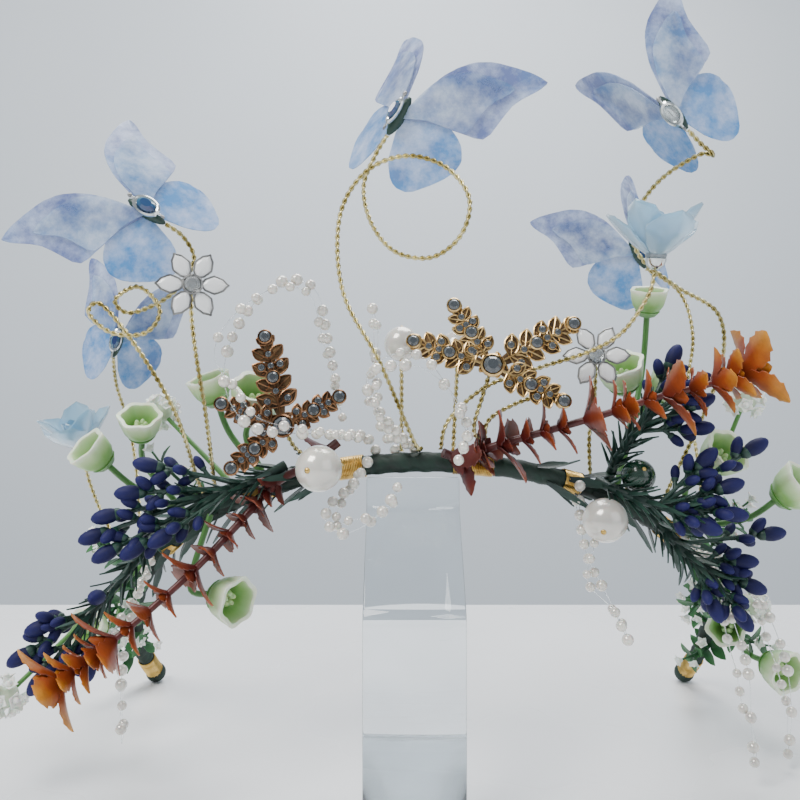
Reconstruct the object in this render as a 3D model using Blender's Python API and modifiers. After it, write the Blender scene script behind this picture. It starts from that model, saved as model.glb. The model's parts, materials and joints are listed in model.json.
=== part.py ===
"""Flower tiara on a clear display stand.

A horseshoe of taped wire rests on the top edge of a bent clear strip and on its own two ends.
Copper leaf sprigs, navy berry sprays, cup flowers, leaf ornaments with stones, pearls and
strings of beads are tied along it, and organza butterflies stand over it on twisted wires.

Units are metres, +Z up, +Y away from the viewer. The origin is the middle of the stand's
underside. Routes and offsets are shares of the hoop's radius, outward from a seat on the hoop.
"""
import math

import bmesh
import bpy
from mathutils import Matrix, Vector

MM = 0.001

# Clearance between pieces that touch on the real tiara
SEAT_GAP = 0.3 * MM

# Clear stand: one strip bent into a foot, an upright, a slope and a short lip
STAND_WIDTH = 25 * MM
STAND_THICKNESS = 3 * MM
STAND_HEIGHT = 84 * MM
STAND_BEND_HEIGHT = 52 * MM
STAND_LIP = 8 * MM
STAND_FRONT = 26 * MM
STAND_BACK = 28 * MM

# Hoop: a taped bundle of wires, open at the back
HOOP_RADIUS = 100 * MM
HOOP_TUBE = 2.9 * MM
HOOP_END_BALL = 3.6 * MM
HOOP_END_ANGLE = 100
HOOP_OFFSET_X = 4 * MM
HOOP_STEP_ANGLE = 5

# Stems and wires
WIRE_RADIUS = 0.65 * MM
STRING_RADIUS = 0.9 * MM
SPRIG_STEM_RADIUS = 1.3 * MM
BERRY_STEM_RADIUS = 1.5 * MM
BERRY_STALK_RADIUS = 0.7 * MM
BUD_RADIUS = 2.4 * MM
BUD_LENGTH = 8 * MM
CUP_STALK_RADIUS = 0.9 * MM

# Leaves and petals
LEAF_LENGTH = 13 * MM
LEAF_WIDTH = 7 * MM
LEAF_THICKNESS = 1 * MM
CUP_RADIUS = 6 * MM
CUP_DEPTH = 9 * MM
CUP_WALL = 1 * MM
LOTUS_RADIUS = 11.5 * MM
LOTUS_HEIGHT = 14 * MM
LOTUS_PETALS = 6
PETAL_THICKNESS = 1 * MM
DAISY_RADIUS = 9 * MM
DAISY_PETAL_WIDTH = 4.6 * MM
DAISY_THICKNESS = 1.8 * MM
DAISY_PETALS = 6

# Butterflies
WING_SPAN = 28 * MM
WING_THICKNESS = 1 * MM
WING_HUB_RADIUS = 1.8 * MM
WING_HUB_LENGTH = 11 * MM
JEWEL_WIDTH = 5.4 * MM
JEWEL_LENGTH = 7.6 * MM
JEWEL_DEPTH = 2.2 * MM

# Leaf ornaments, pearls and fillers
ORNAMENT_LENGTH = 23 * MM
ORNAMENT_WIDTH = 9 * MM
ORNAMENT_THICKNESS = 1.4 * MM
STONE_RADIUS = 1.7 * MM
STONE_DEPTH = 1.4 * MM
PEARL_RADIUS = 6 * MM
BACK_PEARL_RADIUS = 5 * MM
GREEN_BERRY_RADIUS = 4.6 * MM
FILLER_RADIUS = 4 * MM
FILLER_BUD_RADIUS = 2.3 * MM
FILLER_BUDS = 4

# Facets
WIRE_SIDES = 6
HOOP_SIDES = 8
CUP_SIDES = 8
PEARL_SIDES = 12

# Merge distance of curve caps and of shapes that share a point
WELD = 0.001 * MM

# Step between leaves of one whorl as a share of their thickness: no two lie in one plane
STAGGER = 0.15


# Where the hoop lies: it rests on the farther corner of the stand's edge and on its two ends

REST_Z = STAND_HEIGHT + SEAT_GAP + HOOP_TUBE
REST_ANGLE = math.asin((STAND_WIDTH / 2 + HOOP_OFFSET_X) / HOOP_RADIUS)
HOOP_REACH_BACK = HOOP_RADIUS * (1 - math.cos(math.radians(HOOP_END_ANGLE)))
REST_SHARE = HOOP_RADIUS * (1 - math.cos(REST_ANGLE)) / HOOP_REACH_BACK
HOOP_FRONT_Z = (REST_Z - HOOP_END_BALL * REST_SHARE) / (1 - REST_SHARE)
HOOP_TILT = math.asin((HOOP_FRONT_Z - HOOP_END_BALL) / HOOP_REACH_BACK)


def hoop_point(angle):
    """Return the middle of the hoop's bundle at an angle in degrees from the front."""
    turn = math.radians(angle)
    side = HOOP_RADIUS * math.sin(turn)
    down = HOOP_RADIUS * (1 - math.cos(turn))
    height = HOOP_FRONT_Z - down * math.sin(HOOP_TILT)
    return Vector((side + HOOP_OFFSET_X, down * math.cos(HOOP_TILT), height))


def hoop_seat(angle, clock, radius, leaving):
    """Return the middle of a stem's end that is tied to the hoop.

    The clock is in degrees round the bundle: 0 looks outward, 90 up from the hoop's plane.
    The stems leave along the offsets given, and the rims of their ends clear the bundle.
    """
    turn = math.radians(angle)
    outward = Vector((
        math.sin(turn),
        -math.cos(turn) * math.cos(HOOP_TILT),
        math.cos(turn) * math.sin(HOOP_TILT),
    ))
    upward = Vector((0, math.sin(HOOP_TILT), math.cos(HOOP_TILT)))
    lean = outward * math.cos(math.radians(clock)) + upward * math.sin(math.radians(clock))
    rim = max(radius * Vector(offset).normalized().cross(lean).length for offset in leaving)
    return hoop_point(angle) + lean * (HOOP_TUBE + SEAT_GAP + rim)


def along(seat, offsets):
    """Turn offsets in shares of the hoop's radius into points, the seat itself first."""
    points = [seat]
    for offset in offsets:
        points.append(seat + Vector(offset) * HOOP_RADIUS)
    return points


def smooth(points, cuts):
    """Run a smooth curve through the points, with a number of cuts in each span."""
    last = len(points) - 1
    route = []
    for index in range(last):
        before = points[max(index - 1, 0)]
        start = points[index]
        end = points[index + 1]
        after = points[min(index + 2, last)]
        for cut in range(cuts):
            t = cut / cuts
            bend = (2 * before - 5 * start + 4 * end - after) * t ** 2
            twist = (3 * start - before - 3 * end + after) * t ** 3
            route.append((2 * start + (end - before) * t + bend + twist) / 2)
    route.append(points[last].copy())
    return route


def direction(route, index):
    """Return the unit direction of a route at one of its points."""
    after = route[min(index + 1, len(route) - 1)]
    before = route[max(index - 1, 0)]
    return (after - before).normalized()


def turned_frame(axis, near):
    """Return a 3 x 3 matrix whose columns are two cross directions and the axis."""
    forward = axis.normalized()
    side = near - forward * near.dot(forward)
    side.normalize()
    return Matrix((side, forward.cross(side), forward)).transposed()


def placed(axis, near, middle):
    """Return the 4 x 4 matrix that stands a shape on an axis at a place."""
    return Matrix.Translation(middle) @ turned_frame(axis, near).to_4x4()


# Mesh helpers

def new_collection(name):
    collection = bpy.data.collections.new(name)
    bpy.context.scene.collection.children.link(collection)
    return collection


def new_material(name, colour, roughness, metallic=0.0, alpha=1.0):
    material = bpy.data.materials.new(name)
    material.use_nodes = True
    shader = material.node_tree.nodes["Principled BSDF"]
    shader.inputs["Base Color"].default_value = (*colour, 1.0)
    shader.inputs["Roughness"].default_value = roughness
    shader.inputs["Metallic"].default_value = metallic
    shader.inputs["Alpha"].default_value = alpha
    return material


def mesh_object(name, mesh, collection):
    item = bpy.data.objects.new(name, mesh)
    collection.objects.link(item)
    return item


def baked(item):
    """Replace an object by the plain mesh that its modifiers or curve make."""
    graph = bpy.context.evaluated_depsgraph_get()
    mesh = bpy.data.meshes.new_from_object(item.evaluated_get(graph))
    mesh.transform(item.matrix_world)
    bpy.data.objects.remove(item)
    bm = bmesh.new()
    bm.from_mesh(mesh)
    bmesh.ops.remove_doubles(bm, verts=bm.verts, dist=WELD)
    bm.to_mesh(mesh)
    bm.free()
    return mesh


def from_bmesh(bm):
    """Turn a closed bmesh into a mesh whose faces point out."""
    bmesh.ops.recalc_face_normals(bm, faces=bm.faces)
    mesh = bpy.data.meshes.new("shape")
    bm.to_mesh(mesh)
    bm.free()
    return mesh


def tube(points, radii, sides=WIRE_SIDES):
    """Make a capped tube along points, with one radius for all or one for each point.

    Blender gives a curve four sides and two more for each level of its bevel.
    """
    if not isinstance(radii, list):
        radii = [radii] * len(points)
    curve = bpy.data.curves.new("tube", "CURVE")
    curve.dimensions = "3D"
    curve.fill_mode = "FULL"
    curve.bevel_depth = 1.0
    curve.bevel_resolution = round((sides - 4) / 2)
    curve.use_fill_caps = True
    spline = curve.splines.new("POLY")
    spline.points.add(len(points) - 1)
    for knot, point, radius in zip(spline.points, points, radii):
        knot.co = (*point, 1.0)
        knot.radius = radius
    mesh = baked(mesh_object("tube", curve, workshop))
    bm = bmesh.new()
    bm.from_mesh(mesh)
    return from_bmesh(bm)


def ball(middle, sizes, axis=Vector((0, 0, 1)), near=Vector((1, 0, 0.01)), sides=8, rings=4):
    """Make an ellipsoid with its three half sizes, the last along its axis."""
    bm = bmesh.new()
    scale = Matrix.Diagonal((*sizes, 1.0))
    matrix = placed(axis, near, middle) @ scale
    bmesh.ops.create_uvsphere(bm, u_segments=sides, v_segments=rings, radius=1.0, matrix=matrix)
    return from_bmesh(bm)


def cut_stone(middle, axis, near, half_width, half_length, depth, sides=8):
    """Make a stone with a facet for each side and a flat table, standing on its girdle."""
    bm = bmesh.new()
    scale = Matrix.Diagonal((half_width, half_length, 1.0, 1.0))
    lift = Matrix.Translation((0, 0, depth / 2))
    matrix = placed(axis, near, middle) @ scale @ lift
    bmesh.ops.create_cone(bm, cap_ends=True, segments=sides, radius1=1.0, radius2=0.6,
                          depth=depth, matrix=matrix)
    return from_bmesh(bm)


def turned(profile, sides, matrix):
    """Turn a profile of radius and height pairs, closed on its axis, round that axis."""
    bm = bmesh.new()
    first = []
    for radius, height in profile:
        first.append(bm.verts.new((radius, 0.0, height)))
    for start, end in zip(first, first[1:]):
        bm.edges.new((start, end))
    bmesh.ops.spin(bm, geom=bm.verts[:] + bm.edges[:], cent=(0, 0, 0), axis=(0, 0, 1),
                   angle=math.tau, steps=sides, use_merge=True)
    bmesh.ops.remove_doubles(bm, verts=bm.verts, dist=WELD)
    bmesh.ops.dissolve_degenerate(bm, edges=bm.edges, dist=WELD)
    bmesh.ops.transform(bm, matrix=matrix, verts=bm.verts)
    return from_bmesh(bm)


def plate(bm, thickness):
    """Give an open sheet of faces a wall on both sides."""
    bmesh.ops.recalc_face_normals(bm, faces=bm.faces)
    mesh = bpy.data.meshes.new("sheet")
    bm.to_mesh(mesh)
    bm.free()
    item = mesh_object("sheet", mesh, workshop)
    wall = item.modifiers.new("wall", "SOLIDIFY")
    wall.thickness = thickness
    wall.offset = 0.0
    return baked(item)


def blade(base, axis, face, length, width, thickness, rows, curl=0.0, trough=0.0):
    """Make a leaf or petal.

    The rows are pairs of shares: how far along its length and how wide. The curl bends the
    tip towards its face, and the trough lifts its two edges above its rib, both in shares of
    the length and of the width. Without a trough the blade has no rib.
    """
    frame = placed(axis, face, base)
    across = (-1, 0, 1) if trough else (-1, 1)
    bm = bmesh.new()
    lines = []
    for share, spread in rows:
        line = []
        for side in across if spread else (0,):
            rise = curl * length * share ** 2 + trough * width * spread * abs(side)
            point = Vector((rise, side * spread * width / 2, share * length))
            line.append(bm.verts.new(frame @ point))
        lines.append(line)
    for low, high in zip(lines, lines[1:]):
        for index in range(len(low) - 1):
            if len(high) == 1:
                bm.faces.new((low[index], low[index + 1], high[0]))
            else:
                bm.faces.new((low[index], low[index + 1], high[index + 1], high[index]))
    return plate(bm, thickness)


def fuse(name, meshes, material):
    """Join overlapping closed shapes into one body and name it."""
    base = mesh_object(name, meshes[0], parts)
    if len(meshes) > 1:
        group = new_collection("joined shapes")
        for mesh in meshes[1:]:
            mesh_object("joined", mesh, group)
        union = base.modifiers.new("union", "BOOLEAN")
        union.operation = "UNION"
        union.solver = "EXACT"
        union.operand_type = "COLLECTION"
        union.collection = group
        mesh = baked(base)
        for item in list(group.objects):
            bpy.data.objects.remove(item)
        bpy.data.collections.remove(group)
        base = mesh_object(name, mesh, parts)
    base.name = name
    base.data.materials.clear()
    base.data.materials.append(material)
    base.data.shade_smooth()
    base.data.set_sharp_from_angle(angle=math.radians(35))
    return base


# Stand and hoop

def build_stand():
    """Bend the clear strip: foot, upright, slope and lip, then give it its width."""
    half = STAND_THICKNESS / 2
    slope_top = STAND_HEIGHT - STAND_LIP
    spine = [
        Vector((STAND_BACK, half)),
        Vector((half - STAND_FRONT, half)),
        Vector((half - STAND_FRONT, STAND_BEND_HEIGHT)),
        Vector((0, slope_top)),
        Vector((0, STAND_HEIGHT)),
    ]
    inner = []
    outer = []
    for index, point in enumerate(spine):
        before = spine[max(index - 1, 0)]
        after = spine[min(index + 1, len(spine) - 1)]
        arrive = (point - before if index else after - point).normalized()
        leave = (after - point if index < len(spine) - 1 else point - before).normalized()
        middle = (arrive + leave).normalized()
        mitre = Vector((-middle.y, middle.x)) * half / middle.dot(leave)
        inner.append(point - mitre)
        outer.append(point + mitre)
    bm = bmesh.new()
    ring = []
    for point in inner + outer[::-1]:
        ring.append(bm.verts.new((-STAND_WIDTH / 2, point.x, point.y)))
    face = bm.faces.new(ring)
    grown = bmesh.ops.extrude_face_region(bm, geom=[face])
    moved = [item for item in grown["geom"] if isinstance(item, bmesh.types.BMVert)]
    bmesh.ops.translate(bm, verts=moved, vec=(STAND_WIDTH, 0, 0))
    fuse("clear_stand", [from_bmesh(bm)], clear_acrylic)


def build_hoop():
    points = []
    for angle in range(-HOOP_END_ANGLE, HOOP_END_ANGLE + 1, HOOP_STEP_ANGLE):
        points.append(hoop_point(angle))
    shapes = [tube(points, HOOP_TUBE, HOOP_SIDES)]
    for end in (points[0], points[-1]):
        shapes.append(ball(end, [HOOP_END_BALL] * 3, sides=8, rings=6))
    fuse("taped_hoop", shapes, green_tape)


# Leaf sprigs

LEAF_ROWS = [(0.0, 0.16), (0.55, 1.0), (1.0, 0.0)]

# Offsets of the sprigs' stems, and the leaves: share along the stem, leaves, turn, size
SPRIG_ROUTES = {
    "copper_sprig_left": {
        "seat": (-24, -45),
        "inner": [(0.10, -0.05, 0.06), (0.18, -0.05, 0.12)],
        "outer": [(-0.07, -0.04, -0.08), (-0.18, -0.12, -0.20), (-0.30, -0.19, -0.31),
                  (-0.40, -0.24, -0.39), (-0.47, -0.27, -0.44)],
        "whorls": [(0.05, 1, 255, 0.8), (0.36, 3, 70, 0.8), (0.58, 3, 0, 0.9), (0.78, 3, 50, 1.0),
                   (0.97, 4, 10, 1.0)],
    },
    "copper_sprig_right": {
        "seat": (6, -15),
        "inner": [(-0.04, -0.01, 0.0), (-0.07, -0.02, 0.01)],
        "outer": [(0.07, -0.03, 0.03), (0.20, -0.06, 0.07), (0.33, -0.09, 0.11),
                  (0.48, -0.11, 0.16), (0.60, -0.12, 0.19), (0.68, -0.12, 0.22)],
        "whorls": [(0.06, 1, 150, 0.9), (0.13, 1, 228, 0.9), (0.37, 3, 0, 1.0), (0.58, 3, 50, 1.0),
                   (0.76, 3, 10, 1.0), (0.97, 4, 40, 1.1)],
    },
}


def build_sprig(name, row):
    """A stem along the hoop with whorls of leaves that open towards its outer tip."""
    run = Vector(row["outer"][0]) - Vector(row["inner"][0])
    seat = hoop_seat(*row["seat"], SPRIG_STEM_RADIUS, [run])
    before = along(seat, row["inner"])[:0:-1]
    route = smooth(before + along(seat, row["outer"]), 2)
    last = len(route) - 1
    radii = []
    for index in range(last + 1):
        radii.append(SPRIG_STEM_RADIUS * (1 - 0.45 * index / last))
    shapes = [tube(route, radii)]
    for share, count, turn, size in row["whorls"]:
        index = min(round(share * last), last)
        axis = direction(route, index)
        frame = turned_frame(axis, Vector((0, 1, 0.2)))
        for leaf in range(count):
            angle = math.radians(turn) + leaf * math.tau / count
            outward = frame @ Vector((math.cos(angle), math.sin(angle), 0))
            lean = outward * 0.8 + axis * 0.6
            foot = route[index] - axis * LEAF_THICKNESS * STAGGER * leaf
            shapes.append(blade(foot, lean, axis, LEAF_LENGTH * size, LEAF_WIDTH * size,
                                LEAF_THICKNESS, LEAF_ROWS, curl=-0.25))
    fuse(name, shapes, copper_leaf)


# Berry sprays

# Each bud: where it leaves the stem as a share, then the offset of its middle from the seat
BERRY_SPRAYS = {
    "berry_spray_left_upper": {
        "seat": (-22, 20),
        "stem": [(-0.06, -0.03, -0.03), (-0.14, -0.06, -0.06), (-0.22, -0.08, -0.08)],
        "buds": [(0.5, (-0.34, -0.12, 0.01)), (0.6, (-0.38, -0.14, -0.06)),
                 (0.8, (-0.44, -0.14, -0.12)), (0.9, (-0.47, -0.15, -0.17)),
                 (0.8, (-0.43, -0.17, -0.21)), (0.7, (-0.36, -0.17, -0.20)),
                 (0.6, (-0.29, -0.17, -0.17))],
    },
    "berry_spray_left_lower": {
        "seat": (-50, 10),
        "stem": [(-0.01, -0.13, -0.04), (-0.06, -0.22, -0.12), (-0.11, -0.27, -0.18)],
        "buds": [(0.7, (-0.07, -0.30, -0.12)), (0.9, (-0.22, -0.30, -0.20)),
                 (0.9, (-0.10, -0.28, -0.31)), (1.0, (-0.16, -0.30, -0.33)),
                 (1.0, (-0.22, -0.31, -0.34)), (0.9, (-0.26, -0.32, -0.27))],
    },
    "berry_spray_right_upper": {
        "seat": (30, 45),
        "stem": [(0.01, -0.05, 0.06), (0.04, -0.11, 0.13), (0.08, -0.14, 0.19)],
        "buds": [(0.8, (0.15, -0.10, 0.34)), (0.8, (0.21, -0.14, 0.22)),
                 (1.0, (0.19, -0.17, 0.27)), (0.7, (0.21, -0.13, 0.15))],
    },
    "berry_spray_right_middle": {
        "seat": (27, -10),
        "stem": [(0.04, -0.06, -0.02), (0.12, -0.10, -0.05), (0.19, -0.12, -0.06)],
        "buds": [(0.7, (0.25, -0.125, 0.07)), (0.8, (0.31, -0.13, 0.0)),
                 (0.8, (0.31, -0.15, -0.07)), (0.6, (0.24, -0.16, -0.10)),
                 (0.7, (0.38, -0.12, 0.10))],
    },
    "berry_spray_right_lower": {
        "seat": (38, -35),
        "stem": [(0.03, -0.05, -0.05), (0.08, -0.08, -0.11), (0.14, -0.10, -0.16)],
        "buds": [(0.7, (0.22, -0.11, -0.12)), (0.8, (0.25, -0.10, -0.19)),
                 (1.0, (0.21, -0.13, -0.27)), (0.7, (0.13, -0.14, -0.24)),
                 (0.5, (0.31, -0.08, -0.05))],
    },
}


def bud_on_stalk(start, tip):
    """A thin stalk that swells into a bud: one tube with a radius for each point."""
    axis = (tip - start).normalized()
    base = tip - axis * BUD_LENGTH
    points = [start, base, base + axis * BUD_LENGTH * 0.5, tip]
    radii = [BERRY_STALK_RADIUS, BERRY_STALK_RADIUS, BUD_RADIUS, BUD_RADIUS * 0.5]
    return tube(points, radii)


def build_berry_spray(name, row):
    seat = hoop_seat(*row["seat"], BERRY_STEM_RADIUS, row["stem"][:1])
    route = smooth(along(seat, row["stem"]), 2)
    shapes = [tube(route, BERRY_STEM_RADIUS)]
    last = len(route) - 1
    for share, offset in row["buds"]:
        middle = seat + Vector(offset) * HOOP_RADIUS
        start = route[round(share * last)]
        shapes.append(bud_on_stalk(start, middle + (middle - start).normalized() * BUD_LENGTH / 2))
    fuse(name, shapes, navy_berry)


# Butterflies

# Half of a wing outline in shares of the span: distance from the body, distance forward
WING_OUTLINE = [
    (0.02, 0.12), (0.17, 0.54), (0.41, 0.82), (0.81, 0.96), (1.0, 0.98), (0.96, 0.85),
    (0.83, 0.61), (0.78, 0.22), (0.62, 0.17), (0.44, 0.14), (0.64, 0.04), (0.70, -0.07),
    (0.68, -0.20), (0.62, -0.33), (0.44, -0.55), (0.27, -0.56), (0.13, -0.40), (0.02, -0.12),
]

# Body axis, the directions of its right and left wings, the side that its jewel is on, and
# the seat and route of its wire
BUTTERFLIES = {
    "butterfly_centre": {
        "axis": (0.52, 0, 0.85), "right": (0.85, 0, -0.52), "left": (-0.43, 0.87, 0.26),
        "size": 1.0, "jewel": 0.55, "seat": (-1, 62),
        "route": [(-0.02, -0.06, 0.02), (-0.11, -0.14, 0.23), (-0.20, -0.16, 0.40),
                  (-0.21, -0.18, 0.58), (-0.15, -0.20, 0.69), (-0.05, -0.22, 0.73),
                  (0.05, -0.24, 0.70), (0.11, -0.25, 0.62), (0.09, -0.25, 0.53),
                  (0.02, -0.23, 0.48), (-0.07, -0.20, 0.50), (-0.13, -0.16, 0.58),
                  (-0.15, -0.13, 0.68), (-0.12, -0.13, 0.76), (-0.09, -0.13, 0.81)],
    },
    "butterfly_left_front": {
        "axis": (-0.83, 0, 0.55), "right": (0.47, 0.70, 0.54), "left": (-0.55, -0.10, -0.83),
        "size": 0.95, "jewel": 1.0, "seat": (-39, 60),
        "route": [(0.0, -0.10, 0.07), (-0.02, -0.25, 0.26), (-0.09, -0.33, 0.42),
                  (-0.17, -0.36, 0.53), (-0.20, -0.37, 0.51), (-0.14, -0.38, 0.46),
                  (-0.06, -0.37, 0.46), (-0.03, -0.35, 0.52), (-0.09, -0.33, 0.58),
                  (-0.16, -0.30, 0.55), (-0.13, -0.27, 0.52), (-0.04, -0.23, 0.57),
                  (0.02, -0.22, 0.66), (0.0, -0.24, 0.72), (-0.04, -0.27, 0.75)],
    },
    "butterfly_right_front": {
        "axis": (-0.66, 0, 0.75), "right": (0.71, 0.25, 0.63), "left": (-0.10, 0.99, -0.05),
        "size": 0.95, "jewel": 0.8, "seat": (42, 40),
        "route": [(0.04, -0.01, 0.10), (0.11, -0.05, 0.28), (0.13, -0.14, 0.44),
                  (0.10, -0.18, 0.56), (-0.02, -0.20, 0.63), (-0.12, -0.21, 0.71),
                  (-0.14, -0.22, 0.80), (-0.08, -0.24, 0.90), (0.02, -0.26, 0.965),
                  (0.055, -0.27, 0.96), (0.02, -0.28, 0.985), (-0.02, -0.29, 1.02)],
    },
    "butterfly_left_back": {
        "axis": (0.25, 0, 0.97), "right": (0.60, 0.78, -0.16), "left": (-0.80, 0.57, 0.15),
        "size": 0.9, "jewel": 0.7, "seat": (-62, 60),
        "route": [(-0.03, 0.07, 0.12), (-0.06, 0.13, 0.28), (-0.09, 0.14, 0.44),
                  (-0.11, 0.08, 0.57), (-0.10, 0.02, 0.66)],
    },
    "butterfly_right_back": {
        "axis": (-0.45, 0, 0.89), "right": (0.55, 0.78, 0.28), "left": (-0.77, 0.50, -0.39),
        "size": 0.95, "jewel": 0.7, "seat": (58, 60),
        "route": [(0.02, 0.03, 0.15), (0.01, 0.05, 0.32), (-0.02, 0.05, 0.50),
                  (0.0, 0.05, 0.68), (-0.04, 0.05, 0.82), (-0.15, 0.05, 0.90)],
    },
}


def wing_side(middle, axis, outward, span):
    """One side's fore and hind wing as a single thin plate."""
    bm = bmesh.new()
    ring = []
    for away, forward in WING_OUTLINE:
        ring.append(bm.verts.new(middle + (outward * away + axis * forward) * span))
    bm.faces.new(ring)
    return plate(bm, WING_THICKNESS)


def build_butterfly(name, row):
    """Wire, wings and jewelled body, each seated on the one before."""
    axis = Vector(row["axis"]).normalized()
    right = Vector(row["right"])
    left = Vector(row["left"])
    right = (right - axis * right.dot(axis)).normalized()
    left = (left - axis * left.dot(axis)).normalized()
    top = -(right + left).normalized()
    span = WING_SPAN * row["size"]

    seat = hoop_seat(*row["seat"], WIRE_RADIUS, row["route"][:1])
    route = smooth(along(seat, row["route"]), 2)
    fuse(name + "_wire", [tube(route, WIRE_RADIUS)], gilt_wire)

    arrival = direction(route, len(route) - 1)
    hub_end = route[-1] + arrival * SEAT_GAP
    middle = hub_end + axis * WING_HUB_LENGTH / 2
    hub_sizes = [WING_HUB_RADIUS, WING_HUB_RADIUS, WING_HUB_LENGTH / 2]
    hub = ball(middle, hub_sizes, axis, top)
    wings = [hub, wing_side(middle, axis, right, span), wing_side(middle, axis, left, span)]
    fuse(name + "_wings", wings, blue_organza)

    size = row["jewel"]
    seat_point = middle + top * (WING_HUB_RADIUS + SEAT_GAP)
    setting = jewelled_body(seat_point, top, axis, JEWEL_WIDTH / 2 * size, JEWEL_LENGTH / 2)
    fuse(name + "_body", setting, jewel_metal)


def jewelled_body(seat_point, top, axis, half_width, half_length):
    """The oval metal setting, its cut stone, and the thin head and tail of the body."""
    rim = cut_stone(seat_point, top, axis, half_length, half_width, JEWEL_DEPTH * 0.5)
    stone = cut_stone(seat_point + top * JEWEL_DEPTH * 0.4, top, axis, half_length * 0.55,
                      half_width * 0.55, JEWEL_DEPTH * 0.6)
    spine_middle = seat_point + top * JEWEL_DEPTH * 0.24
    reach = WING_HUB_LENGTH * 0.45
    spine = tube([spine_middle - axis * reach, spine_middle + axis * reach], JEWEL_DEPTH * 0.18)
    return [rim, stone, spine]


# Flowers on wires

LOTUS_ROWS = [(0.0, 0.14), (0.55, 1.0), (1.0, 0.0)]

# Seat on the hoop, route of the wire, and the flower's size and tilt
LOTUSES = {
    "glass_flower_right": {
        "seat": (2, 60), "size": 1.0, "axis": (0.05, -0.15, 1.0),
        "route": [(0.02, -0.03, 0.08), (0.12, -0.05, 0.17), (0.26, -0.08, 0.22),
                  (0.38, -0.12, 0.26), (0.46, -0.14, 0.31), (0.52, -0.15, 0.40),
                  (0.535, -0.15, 0.455)],
    },
    "glass_flower_left": {
        "seat": (-64, 40), "size": 0.95, "axis": (-0.2, -0.3, 0.93),
        "route": [(-0.06, 0.02, 0.08), (-0.12, 0.03, 0.18), (-0.155, 0.01, 0.29),
                  (-0.165, 0.0, 0.36)],
    },
}

DAISIES = {
    "white_flower_left": {
        "seat": (-36, 45), "axis": (0.25, -0.95, 0.1),
        "route": [(0.01, -0.08, 0.05), (0.02, -0.17, 0.15), (0.02, -0.23, 0.26),
                  (0.01, -0.27, 0.38), (0.0, -0.28, 0.49), (0.0, -0.27, 0.56)],
    },
    "white_flower_right": {
        "seat": (27, 62), "axis": (-0.1, -0.96, 0.2),
        "route": [(-0.01, -0.03, 0.11), (0.0, -0.05, 0.22), (0.0, -0.06, 0.33)],
    },
}


def build_lotus(name, row):
    """Six cupped petals round a small heart, on a twisted wire."""
    seat = hoop_seat(*row["seat"], WIRE_RADIUS, row["route"][:1])
    route = smooth(along(seat, row["route"]), 2)
    fuse(name + "_wire", [tube(route, WIRE_RADIUS)], gilt_wire)
    axis = Vector(row["axis"]).normalized()
    size = row["size"]
    heart_radius = LOTUS_RADIUS * 0.24
    heart = route[-1] + axis * (heart_radius + SEAT_GAP + WIRE_RADIUS)
    shapes = [ball(heart, [heart_radius] * 3, axis, sides=6, rings=4)]
    frame = turned_frame(axis, Vector((1, 0.1, 0)))
    for petal in range(LOTUS_PETALS):
        angle = (petal + 0.5) * math.tau / LOTUS_PETALS
        outward = frame @ Vector((math.cos(angle), math.sin(angle), 0))
        lean = outward * 1.15 + axis * (0.55 + 0.45 * (petal % 2))
        foot = heart + axis * PETAL_THICKNESS * STAGGER * petal
        shapes.append(blade(foot, lean, axis, LOTUS_HEIGHT * size, LOTUS_RADIUS * 0.9 * size,
                            PETAL_THICKNESS, LOTUS_ROWS, curl=0.28, trough=0.2))
    fuse(name, shapes, pale_glass)


def build_daisy(name, row):
    """Six marquise petals round a crystal, flat against its wire."""
    seat = hoop_seat(*row["seat"], WIRE_RADIUS, row["route"][:1])
    route = smooth(along(seat, row["route"]), 2)
    fuse(name + "_wire", [tube(route, WIRE_RADIUS)], gilt_wire)
    axis = Vector(row["axis"]).normalized()
    frame = turned_frame(axis, Vector((0, 0, 1)))
    middle = route[-1] + axis * (WIRE_RADIUS + SEAT_GAP + DAISY_THICKNESS / 2 + 0.2 * MM)
    heart = DAISY_RADIUS * 0.3
    shapes = [
        cut_stone(middle - axis * DAISY_THICKNESS / 2, axis, frame.col[0], heart, heart,
                  DAISY_THICKNESS * 1.6, sides=10),
    ]
    reach = DAISY_RADIUS * 0.4
    for petal in range(DAISY_PETALS):
        angle = (petal + 0.5) * math.tau / DAISY_PETALS
        outward = frame @ Vector((math.cos(angle), math.sin(angle), 0))
        centre = middle + outward * (DAISY_RADIUS - reach)
        sizes = [DAISY_THICKNESS / 2, DAISY_PETAL_WIDTH / 2, reach]
        shapes.append(ball(centre, sizes, outward, axis, sides=6, rings=4))
    fuse(name, shapes, white_enamel)


# Leaf ornaments with stones

ORNAMENT_OUTLINE = [(0.0, 0.16), (0.28, 0.5), (0.45, 0.38), (0.62, 0.46), (0.8, 0.34), (1.0, 0.0)]

# Leaflets: angle in degrees from straight up, size
ORNAMENTS = {
    "leaf_ornament_left": {
        "seat": (-17, 45), "axis": (0.05, -0.97, 0.15),
        "route": [(-0.05, -0.07, 0.03), (-0.08, -0.10, 0.09)],
        "stubs": [],
        "leaflets": [(-12, 1.15), (62, 0.78), (-70, 0.8), (-130, 0.8)],
    },
    "leaf_ornament_right": {
        "seat": (9, 45), "axis": (0.0, -0.97, 0.25),
        "route": [(-0.04, -0.06, 0.06), (-0.02, -0.09, 0.15), (0.0, -0.11, 0.22)],
        "stubs": [[(0.0, -0.02, 0.08), (0.07, -0.06, 0.13), (0.16, -0.10, 0.16)]],
        "leaflets": [(62, 1.15), (-30, 0.9), (-72, 1.0), (118, 0.95)],
    },
}


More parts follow.
